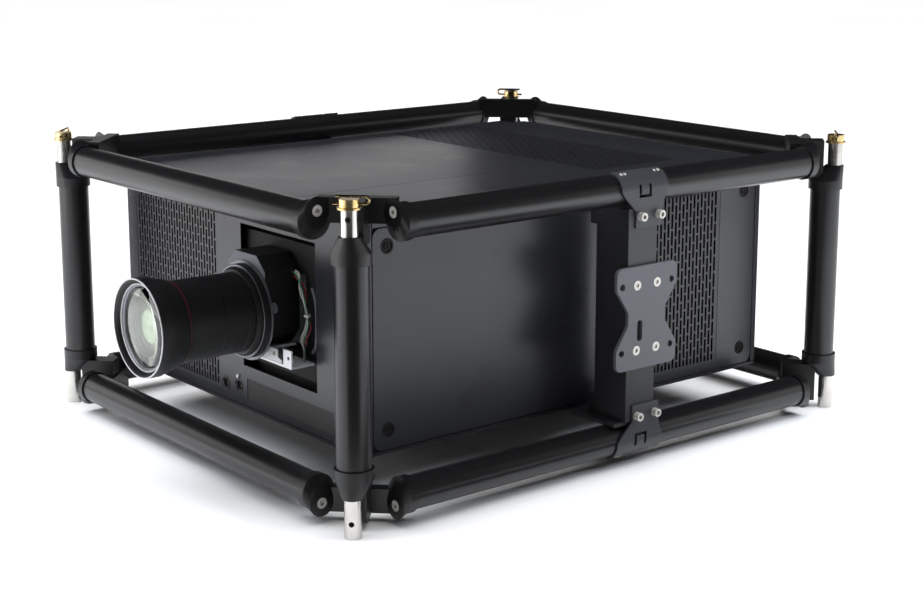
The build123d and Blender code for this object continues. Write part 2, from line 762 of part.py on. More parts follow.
def lens_holder_outline(y, grow=0.0):
    w = holder_half_w + grow
    z0 = holder_z[0] - grow
    z1 = holder_z[1] + grow
    c = holder_chamfer
    points = [
        (lens_x - w, z0 + c), (lens_x - w + c, z0), (lens_x + w - c, z0), (lens_x + w, z0 + c),
        (lens_x + w, z1 - c), (lens_x + w - c, z1), (lens_x - w + c, z1), (lens_x - w, z1 - c),
    ]
    plane = Plane(origin=(0, y, 0), x_dir=(1, 0, 0), z_dir=(0, -1, 0))
    return plane * make_face(Polyline(*points, close=True))


def build_lens():
    fixed_y = stage_y + 30.0
    # lens body: flange, inner tube and fixed bell seat
    tube = lens_rod(inner_barrel_d, bell_y - 20.0, flange_y)
    tube += lens_rod(flange_d, flange_y, flange_y + flange_t)
    tube += lens_rod(barrel_d + 4.0, flange_y - 8.0, flange_y)
    tube += lens_rod(rear_tube_d, flange_y + flange_t, stage_y - 1.0)
    tube -= lens_rod(inner_barrel_d - 8.0, bell_y - 40.0, flange_y)
    tube -= lens_rod(rear_tube_d - 8.0, flange_y - 1.0, stage_y)
    save("lens_barrel", tube)
    ring_bore = inner_barrel_d + 2 * ring_clearance
    zoom = lens_rod(barrel_d, zoom_y + 0.4, flange_y - 8.4)
    zoom -= lens_rod(ring_bore, zoom_y - 10.0, flange_y)
    save("zoom_ring", zoom)
    rim_y = lens_y_front + lens_rim_len
    focus = lens_rod(barrel_d + 1.5, bell_y, zoom_y)
    focus += taper_y(lens_front_d - 6.0, barrel_d + 1.5, rim_y, bell_y, lens_x, lens_z)
    focus += lens_rod(lens_front_d, lens_y_front, rim_y)
    focus -= lens_rod(ring_bore, bell_y - 20.4, flange_y)
    focus -= lens_rod(glass_d - 8.0, lens_y_front - 1.0, bell_y)
    focus -= lens_rod(glass_d, lens_y_front + 30.0 - 12.0, lens_y_front + 30.0)
    focus -= taper_y(lens_front_d - 5.0, glass_d, lens_y_front - 0.01, lens_y_front + 18.0, lens_x, lens_z)
    save("focus_ring", focus)
    sag = 9.0
    half = glass_d / 2
    dome_r = (half * half + sag * sag) / (2 * sag)
    glass = lens_rod(glass_d, lens_y_front + 18.0, lens_y_front + 30.0)
    dome_y = lens_y_front + 18.0 - sag + dome_r
    dome = Pos(lens_x, dome_y, lens_z) * Sphere(dome_r)
    dome &= lens_rod(glass_d, lens_y_front, lens_y_front + 18.0)
    save("front_glass", glass + dome)
    rear = lens_rod(inner_barrel_d - 8.0, zoom_y + 30.0, zoom_y + 44.0)
    save("rear_glass", rear)
    # carrier plate: the lens is clamped in it, and it moves sideways on the lift plate
    carrier = extrude(lens_holder_outline(holder_y_front), -(stage_y - holder_y_front))
    carrier -= lens_rod(rear_tube_d, holder_y_front - 1.0, stage_y + 1.0)
    save("cross_carriage", carrier)
    ring = lens_rod(flange_d + 9.0, flange_y + flange_t + 0.3, holder_y_front - 0.3)
    ring -= lens_rod(rear_tube_d + 2 * ring_clearance, flange_y, holder_y_front)
    ring += rod_y(16.0, flange_y + flange_t + 0.3, holder_y_front - 0.3, lens_x + flange_d / 2 + 8.0, lens_z + 18.0)
    save("lens_lock_ring", ring)
    lift = block(opening_x[0] - 30.0, opening_x[1] + 30.0, stage_y + 0.5, stage_y + 12.5,
                 opening_z[0] + 10.0, opening_z[1] - 10.0)
    lift -= block(lens_x - inner_barrel_d / 2 - shift_x - 3.0, lens_x + inner_barrel_d / 2 + shift_x + 3.0,
                  stage_y, stage_y + 20.0, lens_z - inner_barrel_d / 2 - 3.0, lens_z + inner_barrel_d / 2 + 3.0)
    save("lift_carriage", lift)
    back = block(opening_x[0] - 60.0, body_x - 56.0, stage_y + 13.0, fixed_y,
                 body_z_low + base_rim_h + bar, body_z_high - sheet - bar)
    back -= block(lens_x - inner_barrel_d / 2 - shift_x - 6.0, lens_x + inner_barrel_d / 2 + shift_x + 6.0,
                  stage_y, fixed_y + 5.0, lens_z - inner_barrel_d / 2 - shift_z - 6.0,
                  lens_z + inner_barrel_d / 2 + shift_z + 6.0)
    save("lens_bulkhead", back)
    build_lens_trim()


def wire_path(points, d):
    """Round wire along straight runs joined by large arcs."""
    radii = []
    for before, corner, after in zip(points, points[1:], points[2:]):
        first = Vector(*corner) - Vector(*before)
        second = Vector(*after) - Vector(*corner)
        turn = radians(first.get_angle(second))
        radii.append(0.45 * min(first.length, second.length) / abs(turn_tan(turn)))
    path = FilletPolyline(*points, radius=radii)
    section = Plane(origin=path @ 0, z_dir=path % 0) * Circle(d / 2)
    return sweep(section, path=path)


def turn_tan(turn):
    return sin(turn / 2) / cos(turn / 2)


def build_lens_trim():
    """Wiring, switch bracket and sockets seen round the lens opening."""
    x = opening_x[1] - 26.0
    y = stage_y - 6.0
    holder_x = lens_x + holder_half_w
    top = holder_z[0]
    shelf_z = top - 22.0
    wires = []
    for shift, lean in ((0.0, 0.0), (3.2, 3.0), (6.4, -2.0)):
        wires.append(wire_path([
            (holder_x, y - shift, 322.0),
            (holder_x + 10.0, y - shift, 322.0),
            (x + shift - 12.0, y - 5.0 - lean, 300.0),
            (x + shift, y - 8.0, 274.0 + lean),
            (x + shift + 1.0, y - 4.0 - lean, 250.0),
            (x + shift - 7.0, y - 9.0, 228.0),
            (x + shift - 6.0, y - 6.0, 208.0),
            (x + shift - 6.0, y - 6.0, shelf_z),
        ], 2.4))
    save("lens_wires", *wires)
    y0 = holder_y_front + 16.0
    y1 = stage_y - 4.0
    bracket = block(x - 84.0, x - 40.0, y0, y1, top - 4.0, top)
    bracket += block(x - 84.0, x - 80.0, y0, y1, shelf_z - 4.0, top)
    bracket += block(x - 84.0, x + 8.0, y0, y1, shelf_z - 4.0, shelf_z)
    bracket += block(x - 14.0, x + 8.0, y0, y0 + 3.0, shelf_z - 4.0, top + 2.0)
    bracket -= rod_y(6.0, y0 - 5.0, y0 + 5.0, x, top - 10.0)
    save("switch_bracket", bracket)
    y0 = body_y_front
    group = []
    for sx, sz in socket_pos:
        part = rod_y(socket_d, y0 - 1.0, y0 + socket_depth, sx, sz) - rod_y(socket_d - 5.0, y0 - 2.0, y0 + 14.0, sx, sz)
        group.append(part)
    save("front_sockets", *group)
    save("socket_latch", rod_y(latch_d, y0 - 3.0, y0 + 3.6, *latch_place()))


def build_front_window():
    y0 = body_y_front
    window = block(*window_x, y0 + 0.8, y0 + 3.0, *window_z)
    save("status_window", window)


# ================================================================ rear controls

def build_rear():
    y1 = body_y_rear
    panel = block(*io_x, y1 - 3.0, y1 - 1.0, *io_z)
    sockets = []
    socket_pitch = (io_x[1] - io_x[0] - 72.0) / 4
    for row, z in enumerate((150.0, 200.0, 250.0, 300.0)):
        for column in range(5):
            x = io_x[0] + 34.0 + column * socket_pitch
            if row % 2:
                panel -= block(x - 12.0, x + 12.0, y1 - 4.0, y1, z - 7.0, z + 7.0)
            else:
                panel -= rod_y(16.0, y1 - 4.0, y1, x, z)
            sockets.append((row, x, z))
    save("socket_panel", panel)
    cans = []
    for row, x, z in sockets:
        if row % 2:
            can = block(x - 12.0, x + 12.0, y1 - 16.0, y1 - 1.0, z - 7.0, z + 7.0)
            can -= block(x - 10.0, x + 10.0, y1 - 13.0, y1, z - 5.0, z + 5.0)
        else:
            can = rod_y(16.0, y1 - 16.0, y1 + 1.0, x, z) - rod_y(11.0, y1 - 13.0, y1 + 2.0, x, z)
            can += rod_y(3.0, y1 - 14.0, y1 - 2.0, x, z)
        cans.append(can)
    save("signal_sockets", *cans)
    key_depth = 8.0
    save("power_key", rod_y(key_d, y1 - key_depth, y1 + 2.0, *power_pos))
    pad = rod_y(menu_d, y1 - key_depth, y1 + 1.5, *menu_pos)
    pad -= rod_y(menu_d - 8.0, y1 + 0.7, y1 + 3.0, *menu_pos)
    pad += rod_y(key_d - 6.0, y1, y1 + 1.5, *menu_pos)
    save("menu_pad", pad)
    bezel = block(rocker_x - 14.3, rocker_x + 14.3, y1 - 26.0, y1 + 0.5, rocker_z - 20.3, rocker_z + 20.3)
    bezel -= block(rocker_x - 11.3, rocker_x + 11.3, y1 - 23.0, y1 + 3.0, rocker_z - 17.0, rocker_z + 17.0)
    bezel += rod_x(rocker_pin_d, rocker_x - 12.0, rocker_x + 12.0, y1 - 8.0, rocker_z)
    inlet = rod_y(inlet_d, y1 - 30.0, y1 + 2.0, rocker_x, inlet_z)
    inlet -= rod_y(inlet_d - 8.0, y1 - 18.0, y1 + 3.0, rocker_x, inlet_z)
    for turn in range(3):
        angle = turn * 2 * pi / 3
        pin = rod_y(3.0, y1 - 20.0, y1 - 4.0, rocker_x + 6.5 * sin(angle), inlet_z + 6.5 * cos(angle))
        inlet += pin
    save("mains_module", bezel, inlet)
    rocker = rod_x(26.0, rocker_x - 10.0, rocker_x + 10.0, y1 - 8.0, rocker_z)
    rocker &= block(rocker_x - 20.0, rocker_x + 20.0, y1 - 19.0, y1 + 1.5, rocker_z - 12.0, rocker_z + 12.0)
    rocker -= rod_x(rocker_pin_d + 2 * ring_clearance, rocker_x - 12.0, rocker_x + 12.0, y1 - 8.0, rocker_z)
    save("mains_rocker", rocker)
    frames = []
    for index, z in enumerate(fan_z):
        ring = rod_y(fan_d + 8.0, y1 - 44.0, y1 - 3.0, fan_x, z) - rod_y(fan_d - 1.0, y1 - 50.0, y1, fan_x, z)
        grille = ring + rod_y(fan_d, y1 - 3.0, y1 - 1.0, fan_x, z) - rod_y(fan_d - 6.0, y1 - 4.0, y1, fan_x, z)
        for r in (24.0, 44.0, 62.0):
            grille += rod_y(2 * r, y1 - 3.0, y1 - 1.0, fan_x, z) - rod_y(2 * r - 4.0, y1 - 4.0, y1, fan_x, z)
        for turn in range(0, 180, 45):
            grille += Pos(fan_x, y1 - 2.0, z) * Rot(0, turn, 0) * Box(fan_d - 3.0, 2.0, 3.0)
        hub = rod_y(44.0, y1 - 34.0, y1 - 12.0, fan_x, z)
        for blade in range(7):
            paddle = Box(46.0, 2.0, 20.0)
            paddle = Pos(44.0, 0, 0) * Rot(38, 0, 0) * paddle
            hub += Pos(fan_x, y1 - 23.0, z) * Rot(0, blade * 360 / 7, 0) * paddle
        hub -= rod_y(shaft_d + 2 * ring_clearance, y1 - 50.0, y1 - 16.0, fan_x, z)
        save(f"fan_rotor_{index + 1}", hub)
        grille += rod_y(shaft_d, y1 - 44.0, y1 - 18.0, fan_x, z)
        for turn in (0, 90):
            grille += Pos(fan_x, y1 - 42.0, z) * Rot(0, turn + 45, 0) * Box(fan_d + 2.0, 3.0, 5.0)
        frames.append(grille)
    save("fan_frames", *frames)


# ================================================================ inside

def build_engine(floor_z):
    """Imaging engine behind the lens: open chamber on a hollow foot."""
    x0, x1 = engine_x
    y0, y1 = engine_y
    z0, z1 = engine_z
    wall = 12.0
    engine = block(x0, x1, y0, y1, z0, z1)
    engine -= block(x0 + wall, x1 - wall, y0 - 1.0, y1 - wall, z0 + 3 * wall, z1 - wall)
    engine += block(x0, x1, y0 + 10.0, y1 - 10.0, floor_z, z0)
    engine -= block(x0 + wall, x1 - wall, y0 + 9.0, y1 - 9.0, floor_z, z0 - 8.0)
    save("imaging_engine", engine)


def build_light_source(floor_z):
    """Light source with cooling fins and the post that carries the phosphor wheel."""
    x0, x1 = source_x
    y0, y1 = source_y
    source = block(x0, x1, y0, y1, floor_z, source_top_z)
    source -= block(x0 + 8.0, x1 - 8.0, y0 + 8.0, y1 - 8.0, floor_z - 1.0, source_top_z - 78.0)
    for index in range(12):
        y = y0 + 10.0 + index * 22.0
        source -= block(x0 + 10.0, x1 - 10.0, y, y + 12.0, source_top_z - 70.0, source_top_z + 1.0)
    post_half = 20.0
    post_z = source_top_z - 50.0
    source += block(wheel_x - post_half, wheel_x + post_half, y1, y1 + post_half, post_z, wheel_z + post_half)
    source += rod_y(shaft_d, y1 + post_half, y1 + 38.0, wheel_x, wheel_z)
    save("light_source", source)
    wheel_y = y1 + 28.0
    wheel = rod_y(wheel_d, wheel_y - 1.0, wheel_y + 1.0, wheel_x, wheel_z)
    wheel += rod_y(30.0, wheel_y - 5.0, wheel_y + 5.0, wheel_x, wheel_z)
    wheel -= rod_y(shaft_d + 2 * ring_clearance, y1, y1 + 60.0, wheel_x, wheel_z)
    save("phosphor_wheel", wheel)


def build_control_board(floor_z):
    """Main circuit board on four pillars, with its larger components."""
    x0, x1 = board_x
    y0, y1 = board_y
    top_z = board_z + 4.0
    board = block(x0, x1, y0, y1, board_z, top_z)
    chip_pitch = (x1 - x0 - 15.0) / 3
    for ix in range(3):
        for iy in range(4):
            x = x0 + 20.0 + ix * chip_pitch
            y = y0 + 20.0 + iy * 65.0
            board += block(x, x + 35.0, y, y + 40.0, top_z, top_z + 16.0)
    for x in (x0 + 10.0, x1 - 18.0):
        for y in (y0 + 10.0, y1 - 20.0):
            board += block(x, x + 8.0, y, y + 10.0, floor_z, board_z)
    save("control_board", board)


def build_power_supply(floor_z):
    """Power supply: sheet can, open below, on the floor of the tray."""
    x0, x1 = supply_x
    y0, y1 = supply_y
    can = block(x0, x1, y0, y1, floor_z, supply_top_z)
    can -= block(x0 + 3.0, x1 - 3.0, y0 + 3.0, y1 - 3.0, floor_z - 1.0, supply_top_z - 3.0)
    save("power_supply", can)


def build_inside():
    floor_z = body_z_low + sheet
    build_engine(floor_z)
    build_light_source(floor_z)
    build_control_board(floor_z)
    build_power_supply(floor_z)


build_frame()
build_brackets()
build_body()
build_lens()
build_front_window()
build_rear()
build_inside()
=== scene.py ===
"""Looks of a large-venue projector in its rigging frame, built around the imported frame."""

import json
from math import cos, pi, radians, sin

import bmesh
import bpy
from bpy.props import FloatProperty, FloatVectorProperty, IntProperty, PointerProperty
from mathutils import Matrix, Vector

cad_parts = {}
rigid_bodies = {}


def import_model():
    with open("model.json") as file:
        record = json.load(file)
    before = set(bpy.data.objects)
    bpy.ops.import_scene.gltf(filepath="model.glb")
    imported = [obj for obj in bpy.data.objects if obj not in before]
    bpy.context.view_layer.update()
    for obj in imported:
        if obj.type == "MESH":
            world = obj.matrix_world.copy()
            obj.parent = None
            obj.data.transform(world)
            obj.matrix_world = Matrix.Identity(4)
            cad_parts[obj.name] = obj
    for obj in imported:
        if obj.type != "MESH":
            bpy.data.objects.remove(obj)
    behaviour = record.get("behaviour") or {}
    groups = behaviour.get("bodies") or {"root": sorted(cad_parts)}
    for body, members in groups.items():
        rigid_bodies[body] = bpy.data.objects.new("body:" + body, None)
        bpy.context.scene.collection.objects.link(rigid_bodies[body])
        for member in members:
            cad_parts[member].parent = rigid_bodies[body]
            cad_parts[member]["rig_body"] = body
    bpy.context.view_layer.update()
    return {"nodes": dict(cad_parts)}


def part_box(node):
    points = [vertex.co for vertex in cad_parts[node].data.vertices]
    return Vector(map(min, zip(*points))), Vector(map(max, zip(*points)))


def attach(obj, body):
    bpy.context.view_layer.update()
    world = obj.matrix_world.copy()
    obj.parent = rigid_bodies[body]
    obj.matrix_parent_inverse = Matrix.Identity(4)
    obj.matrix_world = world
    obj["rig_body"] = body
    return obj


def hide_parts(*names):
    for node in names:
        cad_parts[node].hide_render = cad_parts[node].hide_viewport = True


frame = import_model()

bl_info = {
    "name": "Rigged projector looks",
    "version": (1, 0, 0),
    "blender": (4, 5, 0),
    "location": "3D View > Sidebar > Projector",
    "description": "Shapes, finishes and studio of a projector in a tubular rigging frame",
    "category": "Object",
}

MM = 0.001
MERGE = 0.002 * MM              # vertices closer than this become one
LENS_AXIS = (115.0 * MM, 262.0 * MM)        # X and Z of the lens
HOLDER_FACE = -475.2 * MM       # place on Y just behind the front face of the lens carriage
POST_RADIUS = 25.0 * MM
TUBE_WALL = 3.0 * MM
TUBE_CHAMFER = 0.8 * MM
FOCUS_RADIUS = 73.5             # largest radius of the focus ring, in millimetres
FILTER_EDGE = 3.0 * MM          # filters stop this far inside the edge of their vent
FILTER_DEPTH = 7.0 * MM
FOLD_PITCH = 5.0 * MM
FOLD_DEPTH = 4.0 * MM
PAPER = 1.0 * MM
PANE_SHARE = 0.96               # lit share of each softbox pane
BLACK = (0.005, 0.005, 0.0055)


def colour_property(name, description, default):
    return FloatVectorProperty(
        name=name, description=description, default=default, subtype="COLOR", size=3, min=0.0, max=1.0)


def length_property(name, description, default):
    return FloatProperty(name=name, description=description, default=default, unit="LENGTH", precision=5)


class ProjectorSizes(bpy.types.PropertyGroup):
    """Sizes of the detail that is added to the frame."""

    round_over: length_property("Round over", "Radius on the edges of bent sheet and plate", 0.8 * MM)
    casting_round: length_property("Casting round", "Radius on the edges of the corner castings", 1.4 * MM)
    rim_width: length_property("Rim width", "Bright edge on the front of the lens", 2.2 * MM)
    ring_line: length_property("Ring line", "Width of the coloured line round the lens", 1.8 * MM)
    wire: length_property("Wire", "Diameter of one insulated wire", 2.2 * MM)
    turn_steps: IntProperty(name="Turn steps", description="Faces round a turned piece", default=96, min=24)


class ProjectorColours(bpy.types.PropertyGroup):
    """Base colours of the finishes."""

    tube: colour_property("Tube", "Anodised frame tube", (0.0075, 0.0075, 0.008))
    casting: colour_property("Casting", "Powder coated corner castings", (0.0065, 0.0065, 0.007))
    plate: colour_property("Plate", "Coated hook and mounting plates", (0.085, 0.087, 0.1))
    cover: colour_property("Cover", "Painted body covers", (0.016, 0.0165, 0.02))
    holder: colour_property("Holder", "Coated lens carriage", (0.075, 0.08, 0.098))
    lens: colour_property("Lens", "Anodised lens barrel", (0.0055, 0.0055, 0.006))
    line: colour_property("Line", "Coloured line round the lens", (0.045, 0.004, 0.008))
    glass: colour_property("Glass", "Coated front element", (0.82, 0.9, 0.78))
    nickel: colour_property("Nickel", "Plated spigots", (0.62, 0.6, 0.57))
    gilt: colour_property("Gilt", "Yellow plated caps and clips", (0.78, 0.55, 0.24))


class ProjectorStudio(bpy.types.PropertyGroup):
    """Floor, light and camera."""

    floor: FloatProperty(name="Floor", description="Side of the floor", default=60.0, unit="LENGTH")
    sky: FloatProperty(name="Sky", description="Strength of the pale surroundings", default=0.5, min=0.0)
    focal: FloatProperty(name="Focal length", description="Camera lens", default=67.216, unit="CAMERA")
    turn: FloatProperty(name="Turn", description="Camera heading", default=radians(51.233), subtype="ANGLE")
    tilt: FloatProperty(
        name="Tilt", description="Camera below level", default=radians(11.157), subtype="ANGLE")
    place: FloatVectorProperty(
        name="Place", description="Camera place", default=(2.2834, -1.8031, 0.8736), subtype="TRANSLATION")


# ---------------------------------------------------------------- finishes

class Signal:
    """A shader socket; arithmetic on it adds Math nodes."""

    def __init__(self, finish, socket):
        self.finish = finish
        self.socket = socket

    def __add__(self, other):
        return self.finish.apply("ADD", self, other)

    __radd__ = __add__

    def __sub__(self, other):
        return self.finish.apply("SUBTRACT", self, other)

    def __rsub__(self, other):
        return self.finish.apply("SUBTRACT", other, self)

    def __mul__(self, other):
        return self.finish.apply("MULTIPLY", self, other)

    __rmul__ = __mul__

    def __lt__(self, other):
        return self.finish.apply("LESS_THAN", self, other)


class Finish:
    """One procedural material: a Principled shader and the nodes that feed it."""

    def __init__(self, name, **fixed):
        self.material = bpy.data.materials.new(name)
        self.material.use_nodes = True
        self.tree = self.material.node_tree
        self.shader = self.tree.nodes["Principled BSDF"]
        for socket, value in fixed.items():
            self.shader.inputs[socket.replace("_", " ")].default_value = value
        self.place = self.node("ShaderNodeTexCoord", output="Object")

    def node(self, kind, settings=None, inputs=None, output=0):
        """Add a node with its settings, then its socket values or links."""
        made = self.tree.nodes.new(kind)
        for key, value in (settings or {}).items():
            if key == "stops":
                ramp = made.color_ramp.elements
                while len(ramp) < len(value):
                    ramp.new(0.5)
                for element, (position, shade) in zip(ramp, value):
                    element.position = position
                    element.color = (*shade, 1.0)
            else:
                setattr(made, key, value)
        for key, value in (inputs or {}).items():
            if isinstance(value, Signal):
                self.tree.links.new(value.socket, made.inputs[key])
            else:
                made.inputs[key].default_value = value
        return Signal(self, made.outputs[output])

    def apply(self, operation, *terms):
        """Add a Math node."""
        return self.node("ShaderNodeMath", {"operation": operation}, dict(enumerate(terms)))

    def noise(self, scale, detail=2.0, stretch=(1.0, 1.0, 1.0), rough=0.5):
        mapped = self.node("ShaderNodeMapping", inputs={"Vector": self.place, "Scale": stretch})
        settings = {"Vector": mapped, "Scale": scale, "Detail": detail, "Roughness": rough}
        return self.node("ShaderNodeTexNoise", inputs=settings)

    def blend(self, share, first, second):
        """Colour between first and second."""
        inputs = {0: share, 6: opaque(first), 7: opaque(second)}
        return self.node("ShaderNodeMix", {"data_type": "RGBA"}, inputs, 2)

    def ramp(self, share, *stops):
        return self.node("ShaderNodeValToRGB", {"stops": stops}, {0: share})

    def axis(self, name):
        return self.node("ShaderNodeSeparateXYZ", inputs={0: self.place}, output=name)

    def clamp(self, signal, low, high):
        inputs = {"Value": signal, "From Min": low, "From Max": high}
        return self.node("ShaderNodeMapRange", inputs=inputs)

    def feed(self, **links):
        for socket, signal in links.items():
            self.tree.links.new(signal.socket, self.shader.inputs[socket.replace("_", " ")])
        return self

    def relief(self, height, depth, strength=1.0):
        inputs = {"Height": height, "Distance": depth, "Strength": strength}
        return self.feed(Normal=self.node("ShaderNodeBump", inputs=inputs))


def opaque(value):
    return value if isinstance(value, Signal) else (*value[:3], 1.0)


def shade(colour, factor):
    return tuple(min(1.0, c * factor) for c in colour)


def powder_coat(name, colour, rough=0.42, peel=0.02, coarse=1100.0):
    """Satin powder coat: orange peel, cloudy sheen and a trace of dust."""
    finish = Finish(name, IOR=1.5)
    cloud = finish.noise(6.0, 3.0)
    grain = finish.noise(coarse, 2.0)
    dust = finish.clamp(finish.noise(140.0, 8.0, rough=0.7), 0.62, 0.8)
    tone = finish.blend(cloud, shade(colour, 0.8), shade(colour, 1.2))
    finish.feed(
        Base_Color=finish.blend(dust * 0.35, tone, shade(colour, 2.2)),
        Roughness=rough - 0.06 + 0.12 * cloud + 0.06 * grain)
    return finish.relief(grain, peel * MM, 0.6)


def faced_coat(name, colour, face):
    """Grey coat on the front face, as far as a place on Y, and black behind it."""
    finish = Finish(name, IOR=1.5)
    grain = finish.noise(1200.0, 2.0)
    cloud = finish.noise(22.0, 4.0)
    front = finish.axis("Y") < face
    tone = finish.blend(cloud, shade(colour, 0.75), shade(colour, 1.25))
    finish.feed(
        Base_Color=finish.blend(front, BLACK, tone),
        Roughness=0.36 + 0.12 * cloud + 0.06 * grain)
    return finish.relief(grain, 0.02 * MM, 0.6)


def anodised(name, colour, along, rough=0.34, lines=900.0):
    """Anodised tube: fine drawn lines along it and faint handling marks."""
    finish = Finish(name, IOR=1.5)
    stretch = tuple(0.02 if axis == along else 1.0 for axis in "XYZ")
    drawn = finish.noise(lines, 2.0, stretch)
    cloud = finish.noise(9.0, 4.0)
    rubs = finish.clamp(finish.noise(55.0, 6.0, stretch, 0.65), 0.62, 0.78)
    tone = finish.blend(drawn, shade(colour, 0.7), shade(colour, 1.3))
    finish.feed(
        Base_Color=finish.blend(rubs * 0.3, tone, shade(colour, 2.4)),
        Roughness=rough - 0.05 + 0.1 * cloud + 0.05 * drawn)
    return finish.relief(drawn, 0.006 * MM, 0.5)


def turned_metal(name, colour, rough, metallic=1.0, axis="Z", pitch=0.25 * MM, groove=0.004):
    """Turned and plated metal: fine grooves round the axis, clouded by handling."""
    finish = Finish(name)
    phase = finish.axis(axis) * (2 * pi / pitch)
    groove_wave = finish.apply("SINE", phase)
    cloud = finish.noise(60.0, 4.0)
    specks = finish.clamp(finish.noise(700.0, 3.0), 0.66, 0.74)
    tone = finish.blend(cloud, shade(colour, 0.75), shade(colour, 1.15))
    finish.shader.inputs["Metallic"].default_value = metallic
    finish.feed(
        Base_Color=finish.blend(specks * 0.4, tone, shade(colour, 0.3)),
        Roughness=rough - 0.04 + 0.1 * cloud)
    return finish.relief(groove_wave, groove * MM, 0.4)


def gilt_plate(name, colour):
    """Yellow passivated zinc: gold with faint green and rose clouds."""
    finish = Finish(name, Metallic=1.0)
    cloud = finish.noise(90.0, 3.0)
    tone = finish.ramp(
        cloud, (0.3, shade(colour, 0.62)), (0.45, colour),
        (0.58, (0.72, 0.62, 0.3)), (0.72, (0.8, 0.45, 0.3)))
    finish.feed(Base_Color=tone, Roughness=0.16 + 0.14 * finish.noise(300.0, 3.0))
    return finish.relief(finish.noise(900.0, 2.0), 0.01 * MM, 0.5)


def brushed(name, colour, rough=0.3, along="X", metallic=1.0):
    """Brushed or milled metal with directional lines."""
    finish = Finish(name, Metallic=metallic)
    stretch = tuple(0.03 if axis == along else 1.0 for axis in "XYZ")
    lines = finish.noise(1400.0, 3.0, stretch)
    cloud = finish.noise(30.0, 4.0)
    finish.feed(
        Base_Color=finish.blend(lines, shade(colour, 0.78), shade(colour, 1.12)),
        Roughness=rough - 0.06 + 0.1 * lines + 0.08 * cloud)
    return finish.relief(lines, 0.008 * MM, 0.5)


def moulded(name, colour, rough=0.45, texture=700.0, depth=0.02):
    """Moulded plastic or rubber with a fine spark texture."""
    finish = Finish(name, IOR=1.48)
    spark = finish.noise(texture, 3.0)
    cloud = finish.noise(25.0, 3.0)
    finish.feed(
        Base_Color=finish.blend(cloud, shade(colour, 0.85), shade(colour, 1.2)),
        Roughness=rough - 0.05 + 0.1 * spark + 0.05 * cloud)
    return finish.relief(spark, depth * MM, 0.5)


def coated_glass(name, colour):
    """Front element: clear crown glass under a green and rose coating."""
    finish = Finish(name, IOR=1.5, Transmission_Weight=1.0, Coat_Weight=0.2, Coat_IOR=1.6, Roughness=0.0)
    finish.shader.inputs["Coat Roughness"].default_value = 0.02
    cloud = finish.noise(14.0, 2.0)
    dust = finish.clamp(finish.noise(1500.0, 2.0), 0.7, 0.8)
    finish.feed(
        Base_Color=finish.blend(cloud, colour, shade(colour, 0.86)),
        Roughness=0.01 + 0.2 * dust)
    return finish


def painted_reflection_glass(name, colour, centre):
    """Inner element, whose colour holds a painted reflection of a barred window: a tinted image with painted
    dark bars, bright in the middle and painted shade towards the edge.
    """
    finish = Finish(name, Metallic=0.85, Coat_Weight=0.4)
    ripple = finish.noise(18.0, 2.0)
    across = finish.axis("X") - centre[0]
    up = finish.axis("Z") - centre[1]
    bar = 1.3 * MM
    edge = 46.0 * MM
    # painted reflection of two window bars, drawn as dark lines into the colour
    upright = finish.apply("ABSOLUTE", across + 0.25 * up - 6.0 * MM) < bar
    level = finish.apply("ABSOLUTE", up + 0.3 * across + 3.0 * MM) < bar
    painted_window_bars = finish.apply("MAXIMUM", upright, level)
    # painted reflection fading from a bright tinted middle to painted shade at the edge
    depth = finish.apply("SQRT", across * across + up * up) * (1.0 / edge)
    tone = finish.ramp(
        depth, (0.0, shade(colour, 1.15)), (0.55, colour),
        (0.8, (0.16, 0.2, 0.15)), (1.0, (0.05, 0.055, 0.06)))
    tone = finish.blend(ripple * 0.4, tone, (0.3, 0.24, 0.24))
    finish.feed(
        Base_Color=finish.blend(painted_window_bars * 0.93, tone, (0.004, 0.004, 0.004)),
        Roughness=0.03 + 0.05 * ripple)
    return finish


def circuit_board(name):
    """Solder mask with tracks and pads."""
    finish = Finish(name)
    tracks = finish.node(
        "ShaderNodeTexBrick", {"offset": 0.5},
        {"Vector": finish.place, "Scale": 60.0, "Mortar Size": 0.06, "Color1": (0.01, 0.08, 0.03, 1.0),
         "Color2": (0.014, 0.11, 0.045, 1.0), "Mortar": (0.05, 0.22, 0.09, 1.0)})
    finish.feed(Base_Color=tracks, Roughness=0.3 + 0.2 * finish.noise(200.0))
    return finish


